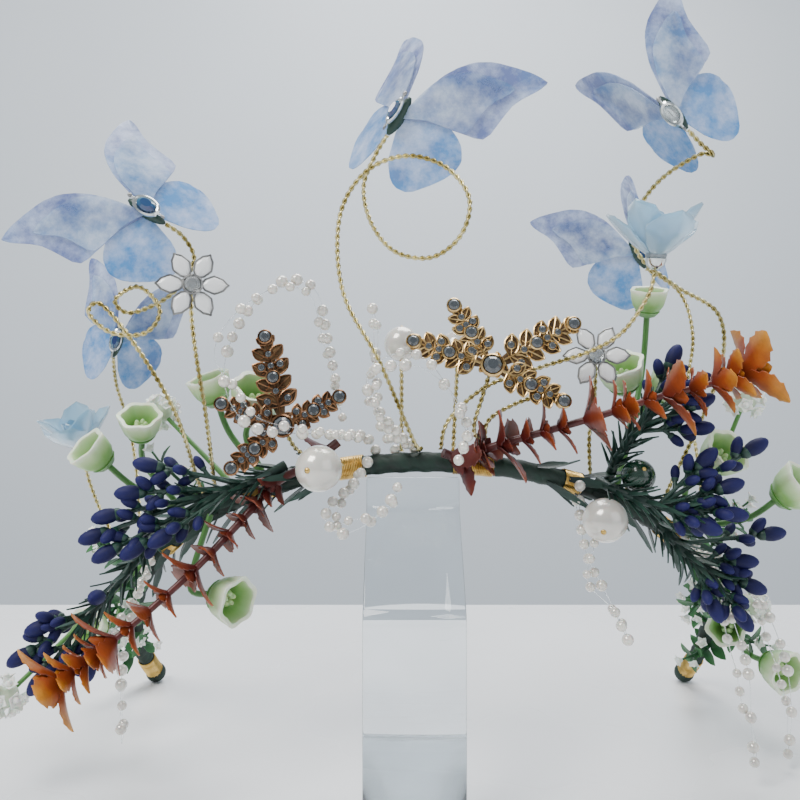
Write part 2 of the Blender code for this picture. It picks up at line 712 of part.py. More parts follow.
def build_ornament(name, row):
    """Flat metal leaflets round one point, each with stones, on a wire with its bare stubs."""
    leaving = [route[0] for route in [row["route"]] + row["stubs"]]
    seat = hoop_seat(*row["seat"], WIRE_RADIUS, leaving)
    route = smooth(along(seat, row["route"]), 2)
    wires = [tube(route, WIRE_RADIUS)]
    for stub in row["stubs"]:
        wires.append(tube(smooth(along(seat, stub), 2), WIRE_RADIUS))
    if len(wires) > 1:
        wires.append(ball(seat, [WIRE_RADIUS * 1.3] * 3, sides=6, rings=4))
    fuse(name + "_wire", wires, gilt_wire)
    axis = Vector(row["axis"]).normalized()
    frame = turned_frame(axis, Vector((0, 0, 1)))
    middle = route[-1] + axis * (WIRE_RADIUS + SEAT_GAP + ORNAMENT_THICKNESS / 2 + 0.2 * MM)
    shapes = [cut_stone(middle - axis * ORNAMENT_THICKNESS * 0.45, axis, frame.col[0],
                        ORNAMENT_WIDTH * 0.42, ORNAMENT_WIDTH * 0.42, ORNAMENT_THICKNESS)]
    for index, (angle, size) in enumerate(row["leaflets"]):
        turn = math.radians(-angle)
        outward = frame @ Vector((math.cos(turn), math.sin(turn), 0))
        length = ORNAMENT_LENGTH * size
        width = ORNAMENT_WIDTH * 2 * size
        foot = middle + axis * ORNAMENT_THICKNESS * STAGGER * index
        shapes.append(blade(foot, outward, axis, length, width, ORNAMENT_THICKNESS,
                            ORNAMENT_OUTLINE))
        for share in (0.5, 0.92):
            stone = middle + outward * length * share
            shapes.append(cut_stone(stone, axis, outward, STONE_RADIUS, STONE_RADIUS,
                                    ORNAMENT_THICKNESS / 2 + STONE_DEPTH))
    fuse(name, shapes, antique_gold)


# Pearls, cup flowers and fillers

PEARLS = {
    "pearl_left": {"seat": (-13, -25), "radius": PEARL_RADIUS, "offset": (-0.05, -0.12, 0.0)},
    "pearl_back_left": {"seat": (-4, 75), "radius": BACK_PEARL_RADIUS, "offset": (0.0, 0.08, 0.30)},
    "pearl_back_right": {"seat": (4, 75), "radius": BACK_PEARL_RADIUS, "offset": (0.02, 0.08, 0.29)},
    "pearl_right": {"seat": (30, -75), "radius": PEARL_RADIUS, "offset": (-0.03, -0.09, -0.04)},
    "green_berry": {"seat": (33, 15), "radius": GREEN_BERRY_RADIUS, "offset": (0.01, -0.09, 0.05)},
}


def build_pearl(name, row, material):
    """A round bead on the wire that it is threaded on."""
    seat = hoop_seat(*row["seat"], WIRE_RADIUS, [row["offset"]])
    middle = seat + Vector(row["offset"]) * HOOP_RADIUS
    radius = row["radius"]
    axis = (middle - seat).normalized()
    pin = tube([seat, middle - axis * radius * 0.8], WIRE_RADIUS)
    bead = ball(middle, [radius] * 3, axis, sides=PEARL_SIDES, rings=6)
    fuse(name, [bead, pin], material)


# Cups: offset of the cup's foot from the seat, its opening direction and its size
CUP_SPRAYS = {
    "cup_spray_left_upper": {
        "seat": (-43, 30),
        "cups": [((-0.19, -0.11, 0.15), (-0.5, -0.5, 0.6), 1.0),
                 ((-0.11, -0.06, 0.22), (0.1, -0.6, 0.8), 1.0)],
    },
    "cup_spray_left_inner": {
        "seat": (-27, 75),
        "cups": [((-0.03, -0.04, 0.16), (0.3, -0.5, 0.8), 1.25),
                 ((-0.13, 0.0, 0.20), (-0.3, -0.3, 0.9), 1.0)],
    },
    "cup_spray_left_low": {
        "seat": (-37, -60),
        "cups": [((0.03, -0.10, -0.20), (0.75, -0.5, -0.1), 1.1)],
    },
    "cup_spray_left_back": {
        "seat": (-72, 0),
        "cups": [((-0.02, -0.14, -0.06), (-0.2, -0.8, 0.3), 1.0)],
    },
    "cup_spray_right_upper": {
        "seat": (33, 80),
        "cups": [((0.02, -0.02, 0.28), (-0.3, -0.5, 0.8), 1.1),
                 ((0.11, 0.0, 0.26), (0.4, -0.5, 0.6), 1.0),
                 ((0.10, 0.04, 0.50), (0.0, -0.3, 0.9), 0.9)],
    },
    "cup_spray_right_outer": {
        "seat": (48, 25),
        "cups": [((0.03, -0.12, 0.19), (0.3, -0.7, 0.5), 1.1),
                 ((0.20, -0.17, 0.10), (0.5, -0.5, 0.5), 1.1)],
    },
    "cup_spray_right_back": {
        "seat": (76, -20),
        "cups": [((-0.04, -0.14, 0.0), (-0.4, -0.8, 0.2), 1.0),
                 ((0.06, -0.17, -0.10), (0.3, -0.8, -0.1), 1.1)],
    },
}


def cup(foot, axis, size):
    radius = CUP_RADIUS * size
    depth = CUP_DEPTH * size
    profile = [
        (0.0, 0.0), (CUP_STALK_RADIUS * 1.5, 0.0), (radius * 0.85, depth * 0.45),
        (radius, depth), (radius - CUP_WALL, depth), (0.0, depth * 0.2 + CUP_WALL),
    ]
    near = Vector((1, 0.1, 0.1))
    return turned(profile, CUP_SIDES, placed(axis, near, foot))


def build_cup_spray(name, row):
    """Cup flowers on curved stalks from one seat."""
    bends = []
    for offset, opening, size in row["cups"]:
        reach = Vector(offset)
        bends.append(reach - Vector(opening).normalized() * reach.length * 0.4)
    seat = hoop_seat(*row["seat"], CUP_STALK_RADIUS, bends)
    shapes = []
    for bend, (offset, opening, size) in zip(bends, row["cups"]):
        foot = seat + Vector(offset) * HOOP_RADIUS
        axis = Vector(opening).normalized()
        inside = foot + axis * CUP_WALL * 0.5
        route = smooth([seat, seat + bend * HOOP_RADIUS, inside], 2)
        shapes.append(tube(route, CUP_STALK_RADIUS))
        shapes.append(cup(foot, axis, size))
    fuse(name, shapes, cup_green)


FILLERS = {
    "white_filler_right": {"seat": (53, 60), "offset": (0.08, -0.21, 0.42)},
    "white_filler_left_low": {"seat": (-58, -35), "offset": (-0.24, -0.36, -0.27)},
    "white_filler_left_back": {"seat": (-33, 85), "offset": (-0.24, 0.08, 0.22)},
    "white_filler_right_low": {"seat": (64, -10), "offset": (0.10, -0.02, -0.08)},
}


def build_filler(name, row):
    """A head of small white buds fused round a core, on a stalk."""
    seat = hoop_seat(*row["seat"], CUP_STALK_RADIUS, [row["offset"]])
    middle = seat + Vector(row["offset"]) * HOOP_RADIUS
    axis = (middle - seat).normalized()
    frame = turned_frame(axis, Vector((1, 0.1, 0.1)))
    shapes = [ball(middle, [FILLER_RADIUS] * 3, axis, sides=6, rings=3),
              tube([seat, middle - axis * FILLER_RADIUS * 0.6], CUP_STALK_RADIUS)]
    for bud in range(FILLER_BUDS):
        height = 0.9 - 1.3 * bud / (FILLER_BUDS - 1)
        wide = math.sqrt(1 - height ** 2)
        angle = bud * math.radians(137.5)
        outward = frame @ Vector((wide * math.cos(angle), wide * math.sin(angle), height))
        shapes.append(ball(middle + outward * FILLER_RADIUS, [FILLER_BUD_RADIUS] * 3, outward,
                           Vector((0.1, 1, 0.2)), sides=5, rings=3))
    fuse(name, shapes, white_filler)


# Strings of small pearls, each a plain tube of its route
BEAD_STRINGS = {
    "bead_string_left_loop": {
        "seat": (-8, 60),
        "route": [(-0.03, -0.03, 0.04), (-0.13, -0.14, 0.05), (-0.30, -0.20, 0.07),
                  (-0.37, -0.20, 0.18), (-0.34, -0.19, 0.32), (-0.24, -0.18, 0.43),
                  (-0.15, -0.15, 0.42), (-0.12, -0.09, 0.28), (-0.09, -0.01, 0.09)],
    },
    "bead_string_rise": {
        "seat": (-5, 75),
        "route": [(-0.04, -0.02, 0.07), (-0.05, -0.04, 0.20), (-0.06, -0.07, 0.38)],
    },
    "bead_string_right_loop": {
        "seat": (-2, 75),
        "route": [(-0.04, -0.07, 0.04), (-0.11, -0.14, 0.13), (-0.12, -0.18, 0.20),
                  (-0.05, -0.19, 0.22), (0.02, -0.20, 0.21), (0.09, -0.20, 0.15),
                  (0.13, -0.19, 0.06), (0.11, -0.15, -0.02)],
    },
    "bead_string_low_loop": {
        "seat": (-9, -30),
        "route": [(-0.04, -0.05, -0.06), (-0.09, -0.09, -0.10), (-0.10, -0.12, -0.14),
                  (-0.06, -0.13, -0.17), (0.0, -0.12, -0.15), (0.05, -0.10, -0.11),
                  (0.08, -0.07, -0.06)],
    },
    "bead_string_right_inner": {
        "seat": (24, -50),
        "route": [(0.0, -0.01, -0.10), (0.02, -0.02, -0.20), (0.07, -0.03, -0.30),
                  (0.12, -0.04, -0.41)],
    },
    "bead_string_right_front": {
        "seat": (48, -30),
        "route": [(0.03, -0.07, -0.06), (0.08, -0.13, -0.19), (0.11, -0.18, -0.34),
                  (0.11, -0.20, -0.48), (0.11, -0.22, -0.57)],
    },
    "bead_string_right_outer": {
        "seat": (56, 0),
        "route": [(0.04, -0.06, -0.02), (0.12, -0.12, -0.12), (0.17, -0.16, -0.27),
                  (0.18, -0.18, -0.42), (0.16, -0.20, -0.53)],
    },
    "bead_string_left_low": {
        "seat": (-52, -30),
        "route": [(-0.02, -0.10, -0.13), (-0.02, -0.20, -0.24), (-0.01, -0.26, -0.36),
                  (0.0, -0.28, -0.47)],
    },
}


def build_bead_string(name, row):
    seat = hoop_seat(*row["seat"], STRING_RADIUS, row["route"][:1])
    fuse(name, [tube(smooth(along(seat, row["route"]), 2), STRING_RADIUS)], small_pearl)


# Start with an empty scene, then the two collections and the finishes
for leftover in list(bpy.data.objects):
    bpy.data.objects.remove(leftover)

parts = new_collection("flower tiara")
workshop = new_collection("workshop")

clear_acrylic = new_material("clear_acrylic", (0.85, 0.90, 0.93), 0.05, alpha=0.35)
green_tape = new_material("green_tape", (0.03, 0.14, 0.08), 0.6)
gilt_wire = new_material("gilt_wire", (0.62, 0.55, 0.25), 0.3, metallic=1.0)
copper_leaf = new_material("copper_leaf", (0.35, 0.09, 0.05), 0.45)
navy_berry = new_material("navy_berry", (0.03, 0.03, 0.16), 0.5)
blue_organza = new_material("blue_organza", (0.45, 0.58, 0.75), 0.6, alpha=0.7)
jewel_metal = new_material("jewel_metal", (0.45, 0.50, 0.50), 0.2, metallic=0.8)
pale_glass = new_material("pale_glass", (0.72, 0.84, 0.90), 0.1, alpha=0.6)
white_enamel = new_material("white_enamel", (0.85, 0.85, 0.83), 0.25)
antique_gold = new_material("antique_gold", (0.50, 0.36, 0.18), 0.35, metallic=1.0)
pearl_white = new_material("pearl_white", (0.88, 0.86, 0.78), 0.2)
berry_green = new_material("berry_green", (0.02, 0.12, 0.06), 0.3)
cup_green = new_material("cup_green", (0.55, 0.72, 0.40), 0.4)
white_filler = new_material("white_filler", (0.85, 0.86, 0.80), 0.7)
small_pearl = new_material("small_pearl", (0.90, 0.90, 0.88), 0.2)

build_stand()
build_hoop()
for piece, table in SPRIG_ROUTES.items():
    build_sprig(piece, table)
for piece, table in BERRY_SPRAYS.items():
    build_berry_spray(piece, table)
for piece, table in BUTTERFLIES.items():
    build_butterfly(piece, table)
for piece, table in LOTUSES.items():
    build_lotus(piece, table)
for piece, table in DAISIES.items():
    build_daisy(piece, table)
for piece, table in ORNAMENTS.items():
    build_ornament(piece, table)
for piece, table in PEARLS.items():
    build_pearl(piece, table, berry_green if piece == "green_berry" else pearl_white)
for piece, table in CUP_SPRAYS.items():
    build_cup_spray(piece, table)
for piece, table in FILLERS.items():
    build_filler(piece, table)
for piece, table in BEAD_STRINGS.items():
    build_bead_string(piece, table)
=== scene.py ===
"""Looks of the flower tiara on its clear display stand.

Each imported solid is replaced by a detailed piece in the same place. Lengths are in metres, and
routes and offsets are shares of the hoop's radius, outward from a seat on the hoop. A seat is an
angle round the hoop and a clock round its bundle, in degrees.
"""
import json
import logging
import math
from dataclasses import dataclass
from enum import Enum

import bmesh
import bpy
from mathutils import Matrix, Vector

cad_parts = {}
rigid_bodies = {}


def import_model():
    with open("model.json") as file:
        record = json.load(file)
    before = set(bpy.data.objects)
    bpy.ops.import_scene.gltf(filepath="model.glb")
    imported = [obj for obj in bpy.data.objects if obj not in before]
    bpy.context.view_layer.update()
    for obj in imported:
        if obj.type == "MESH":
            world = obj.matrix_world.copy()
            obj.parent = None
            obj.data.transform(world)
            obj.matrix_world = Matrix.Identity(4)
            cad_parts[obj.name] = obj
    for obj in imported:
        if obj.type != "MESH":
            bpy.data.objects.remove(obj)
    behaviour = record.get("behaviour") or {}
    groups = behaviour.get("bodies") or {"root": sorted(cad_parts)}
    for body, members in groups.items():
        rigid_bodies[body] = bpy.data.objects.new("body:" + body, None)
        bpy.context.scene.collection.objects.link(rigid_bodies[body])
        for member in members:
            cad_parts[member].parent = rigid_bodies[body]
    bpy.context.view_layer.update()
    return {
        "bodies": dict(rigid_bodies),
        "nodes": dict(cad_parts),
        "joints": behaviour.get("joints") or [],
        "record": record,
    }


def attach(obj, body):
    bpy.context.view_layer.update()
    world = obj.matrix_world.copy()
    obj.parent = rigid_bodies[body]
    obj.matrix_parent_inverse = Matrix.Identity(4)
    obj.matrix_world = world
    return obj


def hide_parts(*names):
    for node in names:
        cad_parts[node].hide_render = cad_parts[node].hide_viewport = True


logging.basicConfig(level=logging.INFO, format="%(message)s")
log = logging.getLogger("tiara")
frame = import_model()

MM = 0.001
BODY = "root"
Socket = bpy.types.NodeSocket
Material = bpy.types.Material
Pair = tuple[float, float]
Profile = list[Pair]
Outline = tuple[Pair, ...]
Offset = tuple[float, float, float]
Route = tuple[Offset, ...]
Colour = tuple[float, float, float]
TONE = "tone"
GOLDEN_DEGREES = 137.5
GOLDEN_TURN = 2.4
LEAF_WALL = 0.4 * MM
PLATE_CLEARANCE = 0.2 * MM


# Geometry of the hoop, which carries everything


@dataclass(frozen=True)
class HoopPlace:
    """Where the hoop lies: on the stand's top edge and on its own two ends."""

    radius: float = 100 * MM
    tube: float = 2.9 * MM
    end_ball: float = 3.6 * MM
    end_angle: int = 100
    offset_x: float = 4 * MM
    gap: float = 0.3 * MM
    stand_height: float = 84 * MM
    stand_width: float = 25 * MM

    @property
    def front_z(self) -> float:
        """Height of the bundle's middle at the front."""
        rest = self.stand_height + self.gap + self.tube
        corner = math.asin((self.stand_width / 2 + self.offset_x) / self.radius)
        share = (1 - math.cos(corner)) / (1 - math.cos(math.radians(self.end_angle)))
        return (rest - self.end_ball * share) / (1 - share)

    @property
    def tilt(self) -> float:
        """Slope of the hoop's plane in radians."""
        reach = self.radius * (1 - math.cos(math.radians(self.end_angle)))
        return math.asin((self.front_z - self.end_ball) / reach)

    def point(self, angle: float) -> Vector:
        """Return the middle of the bundle at an angle from the front.

        Args:
            angle: degrees round the hoop, positive to the viewer's right.

        Returns:
            The point in the object's frame.
        """
        turn = math.radians(angle)
        down = self.radius * (1 - math.cos(turn))
        height = self.front_z - down * math.sin(self.tilt)
        return Vector((self.radius * math.sin(turn) + self.offset_x,
                       down * math.cos(self.tilt), height))

    def lean(self, angle: float, clock: float) -> Vector:
        """Return the direction out of the bundle at an angle and a clock, both in degrees."""
        turn = math.radians(angle)
        outward = Vector((math.sin(turn), -math.cos(turn) * math.cos(self.tilt),
                          math.cos(turn) * math.sin(self.tilt)))
        upward = Vector((0, math.sin(self.tilt), math.cos(self.tilt)))
        return outward * math.cos(math.radians(clock)) + upward * math.sin(math.radians(clock))

    def seat(self, place: Pair, radius: float, leaving: list[Offset]) -> Vector:
        """Return the middle of a stem's end that is tied to the hoop.

        Args:
            place: angle round the hoop and clock round the bundle, in degrees.
            radius: the stem's radius.
            leaving: the offsets along which stems leave the seat.

        Returns:
            The stem's first point.
        """
        lean = self.lean(*place)
        rim = max(radius * Vector(offset).normalized().cross(lean).length for offset in leaving)
        return self.point(place[0]) + lean * (self.tube + self.gap + rim)

    def along(self, seat: Vector, offsets: Route) -> list[Vector]:
        """Return the seat and the points at the offsets from it."""
        return [seat] + [seat + Vector(offset) * self.radius for offset in offsets]

    def tied(self, place: Pair, radius: float, offsets: Route,
             cuts: int = 8) -> list[Vector]:
        """Return a smooth route that is tied to the hoop and passes through the offsets."""
        return smooth(self.along(self.seat(place, radius, [offsets[0]]), offsets), cuts)


HOOP = HoopPlace()


def smooth(points: list[Vector], cuts: int) -> list[Vector]:
    """Run a smooth curve through points.

    Args:
        points: the chosen points.
        cuts: how many steps each span gets.

    Returns:
        The points of the curve, the chosen ones among them.
    """
    last = len(points) - 1
    route = []
    for index in range(last):
        before = points[max(index - 1, 0)]
        start = points[index]
        end = points[index + 1]
        after = points[min(index + 2, last)]
        for cut in range(cuts):
            t = cut / cuts
            bend = (2 * before - 5 * start + 4 * end - after) * t ** 2
            twist = (3 * start - before - 3 * end + after) * t ** 3
            route.append((2 * start + (end - before) * t + bend + twist) / 2)
    route.append(points[last].copy())
    return route


def held_off(wire_end: Vector, axis: Vector, thickness: float) -> Vector:
    """Return the middle of a plate that stands just clear of a wire's end."""
    return wire_end + axis * (WIRE.radius + HOOP.gap + thickness / 2 + PLATE_CLEARANCE)


def direction(route: list[Vector], index: int) -> Vector:
    """Return the unit direction of a route at one of its points."""
    after = route[min(index + 1, len(route) - 1)]
    before = route[max(index - 1, 0)]
    return (after - before).normalized()


def turned_frame(axis: Vector, near: Vector) -> Matrix:
    """Return a 3 x 3 matrix whose columns are two cross directions and the axis."""
    forward = axis.normalized()
    side = near - forward * near.dot(forward)
    side.normalize()
    return Matrix((side, forward.cross(side), forward)).transposed()


def spoke(frame: Matrix, angle: float) -> Vector:
    """Return the direction at an angle in radians round a frame's axis."""
    return frame @ Vector((math.cos(angle), math.sin(angle), 0))


def mixed(low: float, high: float, share: float) -> float:
    """Return the value at a share of the way from low to high."""
    return low + (high - low) * share


def profile(pairs: Profile, share: float) -> float:
    """Read a table of share and value pairs, with an eased step between them."""
    for (start, low), (end, high) in zip(pairs, pairs[1:]):
        if share <= end:
            t = (share - start) / (end - start)
            return mixed(low, high, t * t * (3 - 2 * t))
    return pairs[-1][1]


def placed(name: str, data: bpy.types.ID) -> bpy.types.Object:
    """Put a mesh, a light or a camera into the scene."""
    item = bpy.data.objects.new(name, data)
    bpy.context.scene.collection.objects.link(item)
    return item


@dataclass(frozen=True)
class Tied:
    """A named part that is tied to the hoop, at an angle round it and a clock in degrees."""

    name: str
    seat: Pair


@dataclass(frozen=True)
class Blade:
    """The form of a leaf or petal.

    Its outline pairs a share along it with a share of its width. Its tip curls towards its face and
    its edges rise in a trough, as shares of its length and width. Teeth and ripples are shares of
    the width.
    """

    outline: Outline
    rows: int
    columns: int
    curl: float = 0.0
    trough: float = 0.0
    teeth: int = 0
    tooth: float = 0.0
    ripple: float = 0.0


# Building meshes


class Mould:
    """Collects the faces of one piece, with a tone for each point and a finish for each face."""

    def __init__(self) -> None:
        """Start with nothing."""
        self.points: list[Vector] = []
        self.tones: list[float] = []
        self.faces: list[tuple[int, ...]] = []
        self.finishes: list[int] = []

    def loft(self, rings: list[list[Vector]], tones: list[float] | None = None,
             finish: int = 0) -> None:
        """Join closed rings of points into a closed skin.

        Args:
            rings: rings with as many points each, in order along the shape.
            tones: a tone for each ring, or none where the finish doesn't use it.
            finish: which of the piece's finishes its faces take.
        """
        first = len(self.points)
        count = len(rings[0])
        for ring, tone in zip(rings, tones or [0.0] * len(rings)):
            self.points.extend(ring)
            self.tones.extend([tone] * count)
        for row in range(len(rings) - 1):
            low = first + row * count
            for index in range(count):
                after = (index + 1) % count
                self.faces.append((low + index, low + after, low + count + after,
                                   low + count + index))
        total = len(rings) - 1
        start = first + total * count
        self.faces.append(tuple(first + index for index in reversed(range(count))))
        self.faces.append(tuple(start + index for index in range(count)))
        self.finishes.extend([finish] * (total * count + 2))

    def tube(self, route: list[Vector], radii: float | list[float], sides: int = 8,
             tones: float | list[float] = 0.0, finish: int = 0) -> None:
        """Run a round tube along a route.

        Args:
            route: the tube's centreline.
            radii: one radius, or one for each point.
            sides: how many sides the tube has.
            tones: one tone, or one for each point.
            finish: which of the piece's finishes it takes.
        """
        count = len(route)
        sizes = radii if isinstance(radii, list) else [radii] * count
        shades = tones if isinstance(tones, list) else [tones] * count
        side = Vector((0.31, 0.17, 0.93))
        rings = []
        for index, point in enumerate(route):
            frame = turned_frame(direction(route, index), side)
            side = frame.col[0].copy()
            ring = []
            for step in range(sides):
                angle = step * math.tau / sides
                away = frame.col[0] * math.cos(angle) + frame.col[1] * math.sin(angle)
                ring.append(point + away * sizes[index])
            rings.append(ring)
        self.loft(rings, shades, finish)

    def turned(self, base: Vector, axis: Vector, near: Vector, rows: Profile,
               tones: list[float] | None = None, sides: int = 16, finish: int = 0,
               flat: float = 1.0, lobes: int = 0, lobe_depth: float = 0.0,
               scale: Pair = (1.0, 1.0)) -> None:
        """Turn a profile round an axis.

        Args:
            base: where the profile starts.
            axis: the axis it turns round.
            near: a direction that the first side faces.
            rows: pairs of radius and height.
            tones: a tone for each row, or none.
            sides: how many sides it has.
            finish: which of the piece's finishes it takes.
            flat: how much narrower it is across.
            lobes: how many lobes its rim has.
            lobe_depth: how deep they are, as a share of the radius at the highest row.
            scale: what the rows' radii and heights are multiplied by.
        """
        frame = turned_frame(axis, near)
        sizes = [(radius * scale[0], height * scale[1]) for radius, height in rows]
        top = max(height for _, height in sizes)
        rings = []
        for radius, height in sizes:
            ring = []
            for step in range(sides):
                angle = step * math.tau / sides
                wave = 1 + lobe_depth * math.cos(lobes * angle) * (height / top) ** 2 if lobes else 1
                spot = Vector((math.cos(angle) * radius * wave,
                               math.sin(angle) * radius * wave * flat, height))
                ring.append(base + frame @ spot)
            rings.append(ring)
        self.loft(rings, tones, finish)

    def ball(self, middle: Vector, sizes: tuple[float, float, float], axis: Vector, near: Vector,
             sides: int = 16, rings: int = 8, tone: float = 0.0, finish: int = 0) -> None:
        """Add an ellipsoid with its three half sizes, the last along its axis."""
        rows = []
        for index in range(rings + 1):
            angle = math.pi * (index + 0.04) / (rings + 0.08)
            rows.append((math.sin(angle) * sizes[0], -math.cos(angle) * sizes[2]))
        self.turned(middle, axis, near, rows, [tone] * len(rows), sides, finish,
                    sizes[1] / sizes[0])

    def stone(self, middle: Vector, axis: Vector, near: Vector, half_width: float,
              half_length: float, depth: float, sides: int = 10, tone: float = 0.0,
              finish: int = 0) -> None:
        """Add a cut stone: girdle, crown facets and a flat table."""
        rows = [(half_width * 0.9, 0.0), (half_width, depth * 0.35), (half_width * 0.6, depth)]
        self.turned(middle, axis, near, rows, [tone] * 3, sides, finish, half_length / half_width)

    def leaf(self, base: Vector, axis: Vector, face: Vector, length: float, width: float,
             thickness: float, blade: Blade, tones: Pair = (0.0, 1.0), finish: int = 0) -> None:
        """Add a leaf or petal as a thin closed shell.

        Args:
            base: its foot.
            axis: the direction from its foot to its tip.
            face: the side that it looks to.
            length: from foot to tip.
            width: across at its widest.
            thickness: of the shell.
            blade: its form.
            tones: the tones of its foot and tip.
            finish: which of the piece's finishes it takes.
        """
        frame = turned_frame(axis, face)
        rings = []
        shades = []
        for row in range(blade.rows + 1):
            share = row / blade.rows
            spread = profile(blade.outline, share)
            if blade.teeth:
                spread *= 1 - blade.tooth * ((share * blade.teeth) % 1.0)
            half = max(spread * width / 2, thickness * 0.3)
            top = []
            under = []
            for column in range(blade.columns):
                side = column / (blade.columns - 1) * 2 - 1
                wave = blade.ripple * width * abs(side) * math.sin(share * 19 + side * 2)
                rise = (blade.curl * length * share ** 2
                        + blade.trough * width * spread * side ** 2 + wave)
                wall = thickness / 2 * (1 - 0.5 * side ** 2)
                top.append(base + frame @ Vector((rise + wall, side * half, share * length)))
                under.append(base + frame @ Vector((rise - wall, side * half, share * length)))
            rings.append(top + under[::-1])
            shades.append(mixed(tones[0], tones[1], share))
        self.loft(rings, shades, finish)

    def shell(self, grid: list[list[Vector]], tones: list[list[float]], thickness: float,
              finish: int = 0) -> None:
        """Give an open grid of points a thin wall and close its rim.

        Args:
            grid: rows of points.
            tones: a tone for each of them.
            thickness: of the wall.
            finish: which of the piece's finishes it takes.
        """
        rows = len(grid)
        columns = len(grid[0])
        first = len(self.points)
        for lift in (0.5, -0.5):
            for row in range(rows):
                for column in range(columns):
                    ahead = grid[min(row + 1, rows - 1)][column]
                    behind = grid[max(row - 1, 0)][column]
                    right = grid[row][min(column + 1, columns - 1)]
                    left = grid[row][max(column - 1, 0)]
                    normal = (right - left).cross(ahead - behind)
                    if normal.length < 1e-12:
                        normal = (grid[1][columns - 1] - grid[1][0]).cross(grid[1][0] - grid[0][0])
                    normal.normalize()
                    self.points.append(grid[row][column] + normal * thickness * lift)
                    self.tones.append(tones[row][column])
        under = rows * columns
        made = len(self.faces)
        for row in range(rows - 1):
            for column in range(columns - 1):
                spot = first + row * columns + column
                self.faces.append((spot, spot + 1, spot + columns + 1, spot + columns))
                self.faces.append((spot + under, spot + under + columns,
                                   spot + under + columns + 1, spot + under + 1))
        rim = [first + column for column in range(columns)]
        rim += [first + row * columns + columns - 1 for row in range(1, rows)]
        rim += [first + (rows - 1) * columns + column for column in reversed(range(columns - 1))]
        rim += [first + row * columns for row in reversed(range(1, rows - 1))]
        for index, spot in enumerate(rim):
            after = rim[(index + 1) % len(rim)]
            self.faces.append((spot, spot + under, after + under, after))
        self.finishes.extend([finish] * (len(self.faces) - made))

    def piece(self, name: str, materials: list[Material],
              nodes: list[str], sharp: float = 40) -> bpy.types.Object:
        """Make the object, ride it on the body and let it stand for its solids.

        Args:
            name: the piece's name.
            materials: its finishes.
            nodes: the solids it replaces.
            sharp: the angle in degrees past which an edge stays sharp.

        Returns:
            The new object.
        """
        mesh = bpy.data.meshes.new(name)
        mesh.from_pydata(self.points, [], self.faces)
        tone = mesh.attributes.new(TONE, "FLOAT", "POINT")
        tone.data.foreach_set("value", self.tones)
        mesh.polygons.foreach_set("material_index", self.finishes)
        bm = bmesh.new()
        bm.from_mesh(mesh)
        bmesh.ops.remove_doubles(bm, verts=bm.verts, dist=1e-7)
        bmesh.ops.recalc_face_normals(bm, faces=bm.faces)
        bm.to_mesh(mesh)
        bm.free()
        return dressed(mesh, name, materials, nodes, sharp)


def dressed(mesh: bpy.types.Mesh, name: str, materials: list[Material],
            nodes: list[str], sharp: float = 40) -> bpy.types.Object:
    """Give a mesh its object, finishes, body and solids."""
    mesh.name = name
    for material in materials:
        mesh.materials.append(material)
    mesh.shade_smooth()
    mesh.set_sharp_from_angle(angle=math.radians(sharp))
    item = placed(name, mesh)
    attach(item, BODY)
    if nodes:
        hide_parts(*nodes)
    log.info("%s: %d faces for %s", name, len(mesh.polygons), nodes or "no solid")
    return item


# Finishes


class NodeTree:
    """A tree of nodes, which a material or a repeat is built in."""

    tree: bpy.types.NodeTree

    def node(self, kind: str, inputs: dict[str | int, object] | None = None,
             **settings: object) -> bpy.types.Node:
        """Add a node.

        Args:
            kind: Blender's word for it.
            inputs: a plain value or a socket for each input that is given.
            settings: its options.

        Returns:
            The new node.
        """
        item = self.tree.nodes.new(kind)
        for key, value in settings.items():
            setattr(item, key, value)
        for key, value in (inputs or {}).items():
            self.feed(item.inputs[key], value)
        return item

    def feed(self, socket: Socket, value: object) -> None:
        """Give an input a plain value, or join it to another node."""
        if isinstance(value, Socket):
            self.tree.links.new(value, socket)
        else:
            socket.default_value = value

    def math(self, operation: str, first: object, second: object) -> Socket:
        """Return a sum, product or other result of two values or sockets."""
        item = self.node("ShaderNodeMath", {0: first, 1: second}, operation=operation)
        return item.outputs["Value"]


